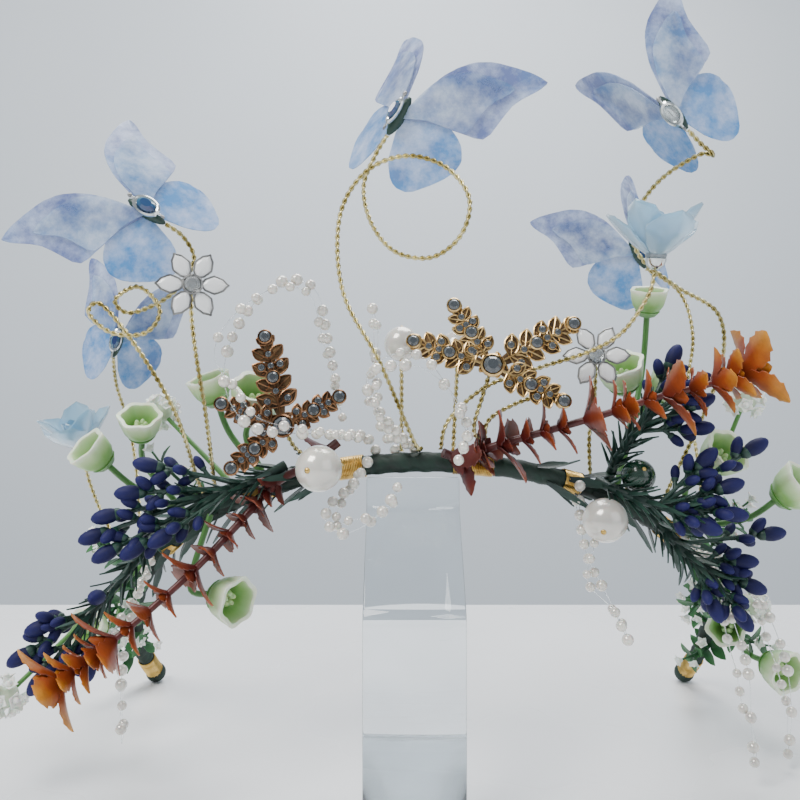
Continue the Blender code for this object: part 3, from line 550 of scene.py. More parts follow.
class Graph(NodeTree):
    """A material built round one Principled shader."""

    def __init__(self, name: str) -> None:
        """Start a material with its shader and output."""
        self.material = bpy.data.materials.new(name)
        self.material.use_nodes = True
        self.tree = self.material.node_tree
        self.tree.nodes.clear()
        self.shader = self.node("ShaderNodeBsdfPrincipled")
        self.node("ShaderNodeOutputMaterial", {"Surface": self.shader.outputs["BSDF"]})
        self.coords = self.node("ShaderNodeTexCoord").outputs["Object"]

    def set(self, **values: object) -> None:
        """Feed inputs of the shader by their names, with underscores for spaces."""
        for key, value in values.items():
            self.feed(self.shader.inputs[key.replace("_", " ")], value)

    def noise(self, scale: float, detail: float = 3.0, rough: float = 0.55) -> Socket:
        """Return a noise on the object's own coordinates."""
        return self.node("ShaderNodeTexNoise", {
            "Scale": scale, "Detail": detail, "Roughness": rough,
            "Vector": self.coords}).outputs["Fac"]

    def tone(self) -> Socket:
        """Return the tone that the mesh stores at its points."""
        return self.node("ShaderNodeAttribute", attribute_name=TONE).outputs["Fac"]

    def facing(self, blend: float) -> Socket:
        """Return the share of gloss that a surface seen at a slant has, the mask that paints reflection
        and shade into colours at the rims.
        """
        return self.node("ShaderNodeLayerWeight", {"Blend": blend}).outputs["Facing"]

    def ramp(self, value: Socket,
             stops: list[tuple[float, tuple[float, float, float]]]) -> Socket:
        """Return the colour that a value has between stops."""
        item = self.node("ShaderNodeValToRGB", {"Fac": value})
        elements = item.color_ramp.elements
        while len(elements) < len(stops):
            elements.new(0.5)
        for element, (place, colour) in zip(elements, stops):
            element.position = place
            element.color = (*colour, 1.0)
        return item.outputs["Color"]

    def mix(self, share: Socket, *ends: object) -> Socket:
        """Return a blend of two colours, each a socket or three numbers."""
        item = self.node("ShaderNodeMix", {0: share}, data_type="RGBA")
        for socket, end in zip(item.inputs[6:8], ends):
            self.feed(socket, end if isinstance(end, Socket) else (*end, 1.0))
        return item.outputs[2]

    def scaled(self, value: Socket, low: float, high: float) -> Socket:
        """Return a value of 0 to 1 moved to another range."""
        return self.node("ShaderNodeMapRange", {
            "To Min": low, "To Max": high, "Value": value}).outputs["Result"]

    def bump(self, height: Socket, depth: float, strength: float = 1.0) -> None:
        """Let a height disturb the shader's normal."""
        item = self.node("ShaderNodeBump", {
            "Strength": strength, "Distance": depth, "Height": height})
        self.set(Normal=item.outputs["Normal"])


@dataclass(frozen=True)
class PlainFinish:
    """A finish whose colour wanders between two tones of one material."""

    dark: Colour
    light: Colour
    grain: float
    roughness: Pair
    metallic: float = 0.0
    coat: float = 0.0
    bump_depth: float = 0.02 * MM
    bump_grain: float = 900.0

    def build(self, name: str) -> Material:
        """Return the material under a name."""
        graph = Graph(name)
        graph.set(Metallic=self.metallic, Coat_Weight=self.coat, Coat_Roughness=0.08)
        noise = graph.noise(self.grain)
        graph.set(Base_Color=graph.ramp(noise, [(0.3, self.dark), (0.7, self.light)]))
        graph.set(Roughness=graph.scaled(noise, *self.roughness))
        graph.bump(graph.noise(self.bump_grain), self.bump_depth, 0.6)
        return graph.material


@dataclass(frozen=True)
class ToneFinish:
    """A finish whose colour follows the tone stored along each leaf, bud or cup."""

    stops: tuple[tuple[float, Colour], ...]
    roughness: Pair
    mottle: Colour
    mottle_share: float
    grain: float = 400.0
    coat: float = 0.0
    glow: float = 0.0
    gloss: float = 0.5
    bump_depth: float = 0.05 * MM

    def build(self, name: str) -> Material:
        """Return the material under a name."""
        graph = Graph(name)
        graph.set(Coat_Weight=self.coat, Coat_Roughness=0.15, Subsurface_Weight=self.glow,
                  Subsurface_Scale=1.5 * MM, Specular_IOR_Level=self.gloss)
        wander = graph.math("ADD", graph.tone(), graph.scaled(graph.noise(160), -0.14, 0.14))
        base = graph.ramp(wander, list(self.stops))
        speckle = graph.noise(self.grain, 5.0, 0.7)
        cover = graph.math("MULTIPLY", graph.scaled(speckle, -0.6, 1.6), self.mottle_share)
        graph.set(Base_Color=graph.mix(cover, base, self.mottle))
        graph.set(Roughness=graph.scaled(speckle, *self.roughness))
        graph.bump(speckle, self.bump_depth, 0.7)
        return graph.material


@dataclass(frozen=True)
class ClearFinish:
    """A clear finish: acrylic, glass petals, cut stones or nylon line."""

    colour: Colour
    roughness: float
    transmission: float
    alpha: float = 1.0
    ior: float = 1.49
    coat: float = 0.0
    # edge: a colour painted over the rims as seen at a slant: a painted reflection on the glass petals
    # and stones, a painted shade on the acrylic stand.
    edge: Colour | None = None

    def build(self, name: str) -> Material:
        """Return the material under a name."""
        graph = Graph(name)
        graph.set(Roughness=self.roughness, Transmission_Weight=self.transmission,
                  Alpha=self.alpha, IOR=self.ior, Coat_Weight=self.coat)
        smear = graph.noise(45, 2.0)
        deep = tuple(part * 0.93 for part in self.colour)
        base = graph.ramp(smear, [(0.35, deep), (0.65, self.colour)])
        # Painted reflection and painted shade: the edge colour takes over where the surface is seen at a
        # slant.
        if self.edge is not None:
            base = graph.mix(graph.facing(0.35), base, self.edge)
        graph.set(Base_Color=base)
        graph.bump(graph.noise(120, 2.0), 0.01 * MM, 0.3)
        return graph.material


@dataclass(frozen=True)
class OrganzaFinish:
    """Sheer cloth with cloudy dye."""

    grey: Colour
    blue: Colour
    pale: Colour
    alpha: Pair

    def build(self, name: str) -> Material:
        """Return the material under a name."""
        graph = Graph(name)
        graph.set(Roughness=0.55, Sheen_Weight=0.25, Sheen_Roughness=0.4,
                  Transmission_Weight=0.15, IOR=1.2)
        cloud = graph.noise(105, 6.0, 0.68)
        patch = graph.noise(52, 2.0, 0.5)
        dye = graph.ramp(graph.math("ADD", graph.scaled(patch, -0.5, 1.5), graph.tone()),
                         [(0.35, self.grey), (0.95, self.blue)])
        graph.set(Base_Color=graph.mix(graph.scaled(cloud, -1.35, 2.15), dye, self.pale))
        graph.set(Alpha=graph.scaled(cloud, *self.alpha))
        weave = graph.node("ShaderNodeTexWave", {"Scale": 900, "Vector": graph.coords},
                           wave_type="BANDS", bands_direction="DIAGONAL")
        graph.bump(weave.outputs["Fac"], 0.03 * MM, 0.5)
        return graph.material


@dataclass(frozen=True)
class PearlFinish:
    """Pearl lustre: a soft body colour under a bright thin coat."""

    body: Colour
    shadow: Colour

    def build(self, name: str) -> Material:
        """Return the material under a name."""
        graph = Graph(name)
        graph.set(Roughness=0.2, Coat_Weight=0.9, Coat_Roughness=0.05, Sheen_Weight=0.1,
                  Subsurface_Weight=0.12, Subsurface_Scale=2 * MM, Metallic=0.25)
        # Painted shade: face on, the colour wanders by noise into the shadow colour; seen at a slant, the
        # rim keeps the lighter body colour.
        wander = graph.ramp(graph.noise(60, 2.0), [(0.3, self.shadow), (0.6, self.body)])
        graph.set(Base_Color=graph.mix(graph.facing(0.4), wander, self.body))
        graph.bump(graph.noise(300, 2.0), 0.01 * MM, 0.3)
        return graph.material


# Repeats made by node trees


class Weave(NodeTree):
    """A geometry node tree that turns a route into a repeat, with named inputs."""

    def __init__(self, name: str, numbers: list[str], finishes: list[str]) -> None:
        """Start a tree with a route coming in, then its numbers and its finishes."""
        self.tree = bpy.data.node_groups.new(name, "GeometryNodeTree")
        face = self.tree.interface
        face.new_socket("Route", in_out="INPUT", socket_type="NodeSocketGeometry")
        for label in numbers:
            face.new_socket(label, in_out="INPUT", socket_type="NodeSocketFloat")
        for label in finishes:
            face.new_socket(label, in_out="INPUT", socket_type="NodeSocketMaterial")
        face.new_socket("Geometry", in_out="OUTPUT", socket_type="NodeSocketGeometry")
        self.source = self.node("NodeGroupInput")
        route = self.node("GeometryNodeMeshToCurve", {"Mesh": self.given("Route")})
        self.curve = route.outputs["Curve"]

    def given(self, label: str) -> Socket:
        """Return one of the tree's inputs."""
        return self.source.outputs[label]

    def times(self, label: str, share: float) -> Socket:
        """Return a share of one of the tree's numbers."""
        return self.math("MULTIPLY", self.given(label), share)

    def circle(self, radius: Socket, sides: int) -> Socket:
        """Return a round curve of a radius."""
        return self.node("GeometryNodeCurvePrimitiveCircle", {
            "Resolution": sides, "Radius": radius}).outputs["Curve"]

    def moved(self, shape: Socket,
              across: Socket) -> Socket:
        """Return a shape moved across by a length."""
        offset = self.node("ShaderNodeCombineXYZ", {"X": across})
        return self.node("GeometryNodeTransform", {
            "Geometry": shape, "Translation": offset.outputs["Vector"]}).outputs["Geometry"]

    def joined(self, shapes: list[Socket]) -> Socket:
        """Return several shapes as one."""
        item = self.node("GeometryNodeJoinGeometry")
        for shape in shapes:
            self.feed(item.inputs["Geometry"], shape)
        return item.outputs["Geometry"]

    def swept(self, curve: Socket,
              outline: Socket) -> Socket:
        """Return an outline swept along a curve, closed at its ends."""
        return self.node("GeometryNodeCurveToMesh", {
            "Curve": curve, "Profile Curve": outline, "Fill Caps": True}).outputs["Mesh"]

    def twisted(self, outline: Socket) -> Socket:
        """Return an outline swept along the route, turned once for each pitch of its length."""
        even = self.node("GeometryNodeResampleCurve", {
            "Curve": self.curve, "Length": self.given("Step")}, mode="LENGTH")
        spline = self.node("GeometryNodeSplineParameter")
        turns = self.math("DIVIDE", spline.outputs["Length"], self.given("Pitch"))
        tilt = self.node("GeometryNodeSetCurveTilt", {
            "Curve": even.outputs["Curve"], "Tilt": self.math("MULTIPLY", turns, math.tau)})
        return self.swept(tilt.outputs["Curve"], outline)

    def spaced(self, label: str) -> bpy.types.Node:
        """Return a node that sets points on the route, a given length apart."""
        return self.node("GeometryNodeCurveToPoints", {
            "Curve": self.curve, "Length": self.given(label)}, mode="LENGTH")

    def finished(self, shape: Socket, label: str) -> Socket:
        """Return a shape as plain faces with one of the tree's finishes."""
        real = self.node("GeometryNodeRealizeInstances", {"Geometry": shape})
        return self.node("GeometryNodeSetMaterial", {
            "Geometry": real.outputs["Geometry"],
            "Material": self.given(label)}).outputs["Geometry"]

    def close(self, shape: Socket) -> None:
        """Send a shape out of the tree."""
        self.node("NodeGroupOutput", {"Geometry": shape})

    def run(self, route: list[Vector], values: dict[str, object]) -> bpy.types.Mesh:
        """Run the tree along a route.

        Args:
            route: the points of the route.
            values: a value for each named input.

        Returns:
            A plain mesh with its finishes.
        """
        line = bpy.data.meshes.new("route")
        edges = [(index, index + 1) for index in range(len(route) - 1)]
        line.from_pydata(route, edges, [])
        item = placed("route", line)
        repeat = item.modifiers.new("repeat", "NODES")
        repeat.node_group = self.tree
        for socket in self.tree.interface.items_tree:
            if socket.in_out == "INPUT" and socket.name in values:
                repeat[socket.identifier] = values[socket.name]
        item.update_tag()
        graph = bpy.context.evaluated_depsgraph_get()
        mesh = bpy.data.meshes.new_from_object(item.evaluated_get(graph))
        bpy.data.objects.remove(item)
        bpy.data.meshes.remove(line)
        return mesh


class TwistedWire(Weave):
    """Two strands twisted round each other along a route."""

    def __init__(self, sides: int = 6, apart: float = 0.92) -> None:
        """Build the tree, with the strands a share of their radius from the middle."""
        super().__init__("twisted wire", ["Strand", "Pitch", "Step"], ["Finish"])
        ring = self.circle(self.given("Strand"), sides)
        pair = [self.moved(ring, self.times("Strand", share)) for share in (apart, -apart)]
        self.close(self.finished(self.twisted(self.joined(pair)), "Finish"))


class TapedBundle(Weave):
    """Wires wound in tape: a round core with two soft lobes that spiral along it."""

    def __init__(self, sides: int = 16, core: float = 0.92, lobe: float = 0.78,
                 apart: float = 0.21) -> None:
        """Build the tree, its core, lobes and their distance as shares of the radius."""
        super().__init__("taped bundle", ["Radius", "Pitch", "Step"], ["Finish"])
        round_core = self.circle(self.times("Radius", core), sides)
        ring = self.circle(self.times("Radius", lobe), sides)
        lobes = [self.moved(ring, self.times("Radius", share)) for share in (apart, -apart)]
        self.close(self.finished(self.twisted(self.joined([round_core, *lobes])), "Finish"))


class ThreadWraps(Weave):
    """Turns of thread wound side by side round a route."""

    def __init__(self, sides: int = 16, thread_sides: int = 5,
                 slant: Offset = (0.05, 0.03, 0.0)) -> None:
        """Build the tree, with the slant of each turn in radians."""
        super().__init__("thread wraps", ["Radius", "Thread", "Step"], ["Finish"])
        turn = self.swept(self.circle(self.given("Radius"), sides),
                          self.circle(self.given("Thread"), thread_sides))
        spots = self.spaced("Step")
        lean = self.node("FunctionNodeRotateRotation", {
            "Rotation": spots.outputs["Rotation"], "Rotate By": slant}, rotation_space="LOCAL")
        rings = self.node("GeometryNodeInstanceOnPoints", {
            "Points": spots.outputs["Points"], "Instance": turn,
            "Rotation": lean.outputs["Rotation"]})
        self.close(self.finished(rings.outputs["Instances"], "Finish"))


class BeadString(Weave):
    """Beads threaded on a clear line, with gaps here and there."""

    def __init__(self, segments: int = 12, rings: int = 7, line_sides: int = 5,
                 smallest: float = 0.84, seed: int = 11) -> None:
        """Build the tree, with the smallest bead as a share of the largest."""
        super().__init__("bead string", ["Bead", "Line", "Spacing", "Kept"], ["Finish", "Clear"])
        spots = self.spaced("Spacing")
        chance = self.node("FunctionNodeRandomValue", {
            "Seed": seed, "Probability": self.given("Kept")}, data_type="BOOLEAN")
        bead = self.node("GeometryNodeMeshUVSphere", {
            "Segments": segments, "Rings": rings, "Radius": self.given("Bead")})
        size = self.node("FunctionNodeRandomValue", {"Seed": seed + 1, 2: smallest, 3: 1.0},
                         data_type="FLOAT")
        beads = self.node("GeometryNodeInstanceOnPoints", {
            "Points": spots.outputs["Points"], "Selection": chance.outputs[3],
            "Instance": bead.outputs["Mesh"], "Rotation": spots.outputs["Rotation"],
            "Scale": size.outputs[1]})
        line = self.swept(self.curve, self.circle(self.given("Line"), line_sides))
        self.close(self.joined([self.finished(beads.outputs["Instances"], "Finish"),
                                self.finished(line, "Clear")]))


# The set of finishes


class Look(Enum):
    """Every finish that a piece may wear."""

    ACRYLIC = "clear acrylic"
    TAPE = "green tape"
    WIRE = "gilt wire"
    THREAD = "gold thread"
    LEAF = "copper leaf"
    GREENERY = "small green leaf"
    STEM = "dark green stem"
    SPRING = "light green stem"
    BERRY = "navy berry"
    ORGANZA = "blue organza"
    PALE_ORGANZA = "pale organza"
    SILVER = "silver setting"
    CRYSTAL = "clear crystal"
    DEEP_STONE = "deep blue stone"
    GLASS = "pale glass"
    ENAMEL = "white enamel"
    DARK_METAL = "dark metal rim"
    GOLD = "antique gold"
    BRONZE = "dark bronze"
    PATINA = "dark patina"
    GREY_STONE = "grey stone"
    PEARL = "pearl"
    GREEN_BEAD = "green bead"
    CUP = "green cup"
    BUD = "white bud"
    LINE = "clear line"


# The last colour of the acrylic, the stones and the glass is painted over their rims as seen at a slant:
# a painted shade on the acrylic, a painted reflection on the stones and the glass.
FINISHES = {
    Look.ACRYLIC: ClearFinish((0.93, 0.97, 0.99), 0.02, 1.0, 1.0, 1.49, 0.0, (0.80, 0.88, 0.93)),
    Look.TAPE: PlainFinish((0.002, 0.010, 0.006), (0.006, 0.030, 0.018), 260, (0.5, 0.75),
        bump_depth=0.12 * MM, bump_grain=700),
    Look.WIRE: PlainFinish((0.36, 0.29, 0.10), (0.84, 0.75, 0.40), 160, (0.2, 0.36), metallic=1.0),
    Look.THREAD: PlainFinish((0.42, 0.24, 0.05), (0.86, 0.60, 0.20), 300, (0.25, 0.4), metallic=1.0),
    Look.LEAF: ToneFinish(((0.0, (0.022, 0.004, 0.005)), (0.35, (0.10, 0.012, 0.010)),
        (0.65, (0.34, 0.066, 0.012)), (1.0, (0.80, 0.36, 0.035))), (0.30, 0.5), (0.06, 0.014, 0.008), 0.4,
        coat=0.12, gloss=0.35),
    Look.STEM: ToneFinish(((0.0, (0.002, 0.014, 0.012)), (1.0, (0.012, 0.065, 0.038))), (0.4, 0.6),
        (0.004, 0.010, 0.012), 0.3, coat=0.15),
    Look.SPRING: ToneFinish(((0.0, (0.020, 0.10, 0.020)), (1.0, (0.13, 0.34, 0.06))), (0.4, 0.6),
        (0.05, 0.16, 0.04), 0.3, coat=0.2),
    Look.BERRY: ToneFinish(((0.0, (0.002, 0.008, 0.020)), (0.35, (0.003, 0.003, 0.036)),
        (1.0, (0.010, 0.010, 0.088))), (0.45, 0.75), (0.035, 0.04, 0.15), 0.16, grain=1300, gloss=0.25),
    Look.GREENERY: ToneFinish(((0.0, (0.006, 0.045, 0.018)), (1.0, (0.045, 0.20, 0.05))), (0.35, 0.55),
        (0.01, 0.05, 0.02), 0.35, coat=0.1, gloss=0.4),
    Look.ORGANZA: OrganzaFinish((0.10, 0.15, 0.40), (0.04, 0.25, 0.60), (0.58, 0.67, 0.86), (0.62, 0.94)),
    Look.PALE_ORGANZA: OrganzaFinish((0.17, 0.25, 0.50), (0.10, 0.34, 0.64), (0.70, 0.78, 0.90),
        (0.35, 0.72)),
    Look.SILVER: PlainFinish((0.48, 0.52, 0.52), (0.86, 0.88, 0.86), 200, (0.08, 0.2), metallic=1.0),
    Look.CRYSTAL: ClearFinish((0.90, 0.95, 0.97), 0.01, 0.85, 1.0, 1.6, 0.3),
    Look.DEEP_STONE: ClearFinish((0.01, 0.03, 0.16), 0.03, 0.25, 1.0, 1.6, 0.6, (0.02, 0.30, 0.38)),
    Look.GLASS: ClearFinish((0.46, 0.76, 0.95), 0.04, 0.6, 0.95, 1.45, 0.8, (0.92, 0.97, 1.0)),
    Look.ENAMEL: PlainFinish((0.78, 0.79, 0.79), (0.90, 0.90, 0.89), 90, (0.12, 0.22), coat=0.6),
    Look.DARK_METAL: PlainFinish((0.18, 0.18, 0.18), (0.46, 0.45, 0.43), 300, (0.25, 0.4), metallic=1.0),
    Look.GOLD: PlainFinish((0.26, 0.15, 0.05), (0.78, 0.56, 0.26), 240, (0.18, 0.38), metallic=1.0,
        bump_depth=0.08 * MM),
    Look.BRONZE: PlainFinish((0.10, 0.045, 0.022), (0.46, 0.25, 0.13), 240, (0.2, 0.4), metallic=1.0,
        bump_depth=0.08 * MM),
    Look.PATINA: PlainFinish((0.020, 0.012, 0.008), (0.17, 0.10, 0.045), 320, (0.4, 0.65), metallic=0.8,
        bump_depth=0.12 * MM),
    Look.GREY_STONE: ClearFinish((0.045, 0.055, 0.065), 0.03, 0.3, 1.0, 1.6, 0.6, (0.30, 0.34, 0.36)),
    Look.PEARL: PearlFinish((0.78, 0.75, 0.67), (0.50, 0.48, 0.44)),
    Look.GREEN_BEAD: PlainFinish((0.001, 0.012, 0.006), (0.004, 0.040, 0.020), 120, (0.15, 0.3),
        coat=0.7),
    Look.CUP: ToneFinish(((0.0, (0.04, 0.17, 0.02)), (0.45, (0.19, 0.41, 0.09)),
        (0.8, (0.54, 0.71, 0.38)), (1.0, (0.84, 0.89, 0.76))), (0.3, 0.5), (0.42, 0.60, 0.26), 0.3,
        coat=0.3, glow=0.2),
    Look.BUD: ToneFinish(((0.0, (0.42, 0.55, 0.36)), (0.4, (0.82, 0.85, 0.76)),
        (1.0, (0.93, 0.93, 0.90))), (0.5, 0.75), (0.74, 0.78, 0.66), 0.25, glow=0.15),
    Look.LINE: ClearFinish((0.92, 0.95, 0.97), 0.05, 0.9, 0.55, 1.45),
}


class Kit:
    """The finishes and node trees that every piece draws on."""

    def __init__(self) -> None:
        """Build them once."""
        self.looks = {look: finish.build(look.value) for look, finish in FINISHES.items()}
        self.wire = TwistedWire()
        self.bundle = TapedBundle()
        self.wraps = ThreadWraps()
        self.beads = BeadString()

    def wear(self, *looks: Look) -> list[Material]:
        """Return the materials of some finishes."""
        return [self.looks[look] for look in looks]


# Profiles of turned forms, in shares of a radius and a height

BUD_SHAPE = [(0.3, 0.0), (0.62, 0.14), (0.9, 0.34), (1.0, 0.52), (0.92, 0.7), (0.7, 0.86),
             (0.38, 0.96), (0.08, 1.0)]
BUD_CALYX = [(0.3, -0.03), (0.72, 0.1), (0.80, 0.22), (0.5, 0.26)]
STONE_RIM = [(0.82, 0.0), (1.0, 0.12), (1.0, 0.34), (0.86, 0.48), (0.7, 0.40)]
HEART_CUP = [(0.3, -1.0), (0.8, -0.6), (1.0, 0.0), (0.7, 0.2)]
CLAW_CUP = [(0.5, -0.5), (0.9, -0.2), (1.0, 0.35), (0.82, 0.42), (0.7, 0.2)]
ENAMEL_DOME = [(0.9, -0.45), (0.94, 0.1), (0.8, 0.34), (0.5, 0.46), (0.12, 0.5)]
COLLAR = [(1.0, 0.0), (1.16, 0.2), (1.16, 0.5), (0.98, 0.66), (0.84, 0.5)]
BEAD_CAP = [(0.13, 0.03), (0.13, 0.08), (0.09, 0.13), (0.03, 0.15)]
CUP_CALYX = [(0.12, -0.05), (0.42, 0.02), (0.66, 0.2), (0.5, 0.24)]
CUP_OUTSIDE = [(0.16, 0.0), (0.34, 0.06), (0.60, 0.2), (0.82, 0.42), (0.92, 0.66), (0.96, 0.88),
               (1.0, 0.98), (0.98, 1.0)]
CUP_INSIDE_TONES = [0.9, 0.7, 0.5, 0.35, 0.2, 0.15]
CALYX_TONES = [0.2, 0.5, 0.9, 1.0]


# Stand and hoop


@dataclass(frozen=True)
class ClearStand:
    """One clear strip bent into a foot, an upright, a slope and a short lip."""

    width: float = 25 * MM
    thickness: float = 3 * MM
    height: float = 84 * MM
    bend_height: float = 52 * MM
    lip: float = 8 * MM
    front: float = 26 * MM
    back: float = 28 * MM
    bevel: float = 0.4 * MM
    bend_steps: int = 6
    bend_reach: float = 2.2 * MM

    def spine(self) -> list[Vector]:
        """Return the middle line of the strip, its bends rounded."""
        half = self.thickness / 2
        corners = [Vector((self.back, half)), Vector((half - self.front, half)),
                   Vector((half - self.front, self.bend_height)),
                   Vector((0, self.height - self.lip)), Vector((0, self.height))]
        line = [corners[0]]
        for before, corner, after in zip(corners, corners[1:], corners[2:]):
            start = corner + (before - corner).normalized() * self.bend_reach
            end = corner + (after - corner).normalized() * self.bend_reach
            for step in range(self.bend_steps + 1):
                t = step / self.bend_steps
                line.append(start * (1 - t) ** 2 + corner * 2 * t * (1 - t) + end * t ** 2)
        line.append(corners[-1])
        return line

    def ring(self, side: float, inset: float) -> list[Vector]:
        """Return the strip's outline at one place across it."""
        line = self.spine()
        half = self.thickness / 2 - inset
        left = []
        right = []
        for index, point in enumerate(line):
            before = line[max(index - 1, 0)]
            after = line[min(index + 1, len(line) - 1)]
            run = (after - before).normalized()
            shift = run * (inset * ((index == 0) - (index == len(line) - 1)))
            normal = Vector((-run.y, run.x))
            left.append(point + shift + normal * half)
            right.append(point + shift - normal * half)
        return [Vector((side, spot.x, spot.y)) for spot in left + right[::-1]]

    def build(self, kit: Kit) -> None:
        """Make the stand."""
        half = self.width / 2
        places = [(-half, self.bevel), (-half + self.bevel * 0.3, self.bevel * 0.3),
                  (-half + self.bevel, 0.0), (half - self.bevel, 0.0),
                  (half - self.bevel * 0.3, self.bevel * 0.3), (half, self.bevel)]
        mould = Mould()
        mould.loft([self.ring(side, inset) for side, inset in places])
        mould.piece("stand_clear", kit.wear(Look.ACRYLIC), ["clear_stand"], 30)


@dataclass(frozen=True)
class TapedHoop:
    """The wound bundle of wires, its taped ends and the bindings of thread."""

    pitch: float = 13 * MM
    step: float = 0.8 * MM
    thread: float = 0.22 * MM
    snug: float = 1.03
    pace: float = 2.1
    bindings: Outline = (
        (-100, -94), (-52, -49), (-30, -26), (-14, -10), (4, 10), (22, 25), (44, 49), (94, 100))

    def route(self, start: float, end: float) -> list[Vector]:
        """Return the hoop's middle line between two angles in degrees."""
        steps = max(round(abs(end - start) / 2), 2)
        return [HOOP.point(mixed(start, end, step / steps)) for step in range(steps + 1)]

    def build(self, kit: Kit) -> None:
        """Make the bundle, the balls at its ends and the bindings."""
        whole = self.route(-HOOP.end_angle, HOOP.end_angle)
        mesh = kit.bundle.run(whole, {"Radius": HOOP.tube, "Pitch": self.pitch,
                                      "Step": self.step, "Finish": kit.looks[Look.TAPE]})
        dressed(mesh, "hoop_taped", [], ["taped_hoop"], 60)
        ends = Mould()
        for end, after in ((whole[0], whole[1]), (whole[-1], whole[-2])):
            axis = end - after
            ends.ball(end, (HOOP.end_ball,) * 3, axis, Vector((0, 0.1, 1)), 20, 12)
        ends.piece("hoop_ends", kit.wear(Look.TAPE), [])
        for index, (start, end) in enumerate(self.bindings):
            turns = kit.wraps.run(self.route(start, end), {
                "Radius": HOOP.tube * self.snug, "Thread": self.thread,
                "Step": self.thread * self.pace,
                "Finish": kit.looks[Look.THREAD]})
            dressed(turns, f"hoop_binding_{index + 1}", [], [])


# Leaf sprigs

SERRATED = Blade(((0.0, 0.18), (0.25, 0.66), (0.55, 1.0), (0.78, 0.84), (0.92, 0.46), (1.0, 0.06)),
                 15, 5, curl=-0.24, trough=0.12, teeth=5, tooth=0.24)


@dataclass(frozen=True)
class LeafSprig(Tied):
    """A stem with whorls of serrated leaves that open towards its outer tip."""

    inner: Route
    outer: Route
    whorls: tuple[tuple[float, int, float, float], ...]
    stem: float = 1.3 * MM
    length: float = 12.5 * MM
    width: float = 8 * MM
    thickness: float = 0.5 * MM
    sepal: float = 0.6
    between: Outline = ((-0.1, 35), (-0.05, 80), (0.06, 15))
    between_size: float = 0.66

    def build(self, kit: Kit) -> None:
        """Make the stem, the whorls and the small leaves inside each whorl."""
        run = Vector(self.outer[0]) - Vector(self.inner[0])
        seat = HOOP.seat(self.seat, self.stem, [run])
        before = HOOP.along(seat, self.inner)[:0:-1]
        route = smooth(before + HOOP.along(seat, self.outer), 6)
        last = len(route) - 1
        mould = Mould()
        radii = [self.stem * (1 - 0.45 * index / last) for index in range(last + 1)]
        mould.tube(route, radii, 10, [0.12 + 0.3 * index / last for index in range(last + 1)])
        for share, count, turn, size in self.whorls:
            self.whorl(mould, route, min(round(share * last), last), count, turn, size)
            for shift, twist in self.between:
                between = round((share + shift) * last)
                if count > 1 and between <= last:
                    self.whorl(mould, route, between, count, turn + twist,
                               size * self.between_size)
        mould.piece(self.name + "_leaves", kit.wear(Look.LEAF), [self.name], 50)

    def whorl(self, mould: Mould, route: list[Vector], index: int, count: int, turn: float,
              size: float) -> None:
        """Add one whorl of leaves, with narrow sepals between them.

        Args:
            mould: where the faces go.
            route: the stem's middle line.
            index: the point of it that the whorl stands on.
            count: how many leaves the whorl has.
            turn: where the first leaf points, in degrees round the stem.
            size: the size of its leaves.
        """
        axis = direction(route, index)
        frame = turned_frame(axis, Vector((0, 1, 0.2)))
        ripe = (index / len(route)) ** 1.3
        for leaf in range(count):
            angle = math.radians(turn) + leaf * math.tau / count
            for part in range(2):
                spread = angle + part * math.pi / max(count, 3)
                outward = spoke(frame, spread)
                lean = outward * (0.8 - 0.35 * part) + axis * 0.6
                scale = size * (self.sepal if part else 1.0)
                foot = route[index] - axis * self.thickness * 0.3 * leaf
                mould.leaf(foot, lean, axis, self.length * scale, self.width * scale,
                           self.thickness, SERRATED,
                           (0.12 + 0.3 * ripe, 0.36 + 0.62 * ripe - 0.1 * part))


SPRIGS = [
    LeafSprig("copper_sprig_left", (-24, -45), ((0.10, -0.05, 0.06), (0.18, -0.05, 0.12)),
        ((-0.07, -0.04, -0.08), (-0.18, -0.12, -0.20), (-0.30, -0.19, -0.31), (-0.40, -0.24, -0.39),
        (-0.47, -0.27, -0.44)), ((0.05, 1, 255, 0.8), (0.36, 3, 70, 0.8), (0.58, 3, 0, 0.9),
        (0.78, 3, 50, 1.0), (0.97, 4, 10, 1.0))),
    LeafSprig("copper_sprig_right", (6, -15), ((-0.04, -0.01, 0.0), (-0.07, -0.02, 0.01)),
        ((0.07, -0.03, 0.03), (0.20, -0.06, 0.07), (0.33, -0.09, 0.11), (0.48, -0.11, 0.16),
        (0.60, -0.12, 0.19), (0.68, -0.12, 0.22)), ((0.06, 1, 150, 0.9), (0.13, 1, 228, 0.9),
        (0.37, 3, 0, 1.0), (0.58, 3, 50, 1.0), (0.76, 3, 10, 1.0), (0.97, 4, 40, 1.1))),
]


# Berry sprays

NEEDLE = Blade(((0.0, 0.5), (0.4, 1.0), (0.8, 0.6), (1.0, 0.06)), 5, 3, curl=0.12, trough=0.15)


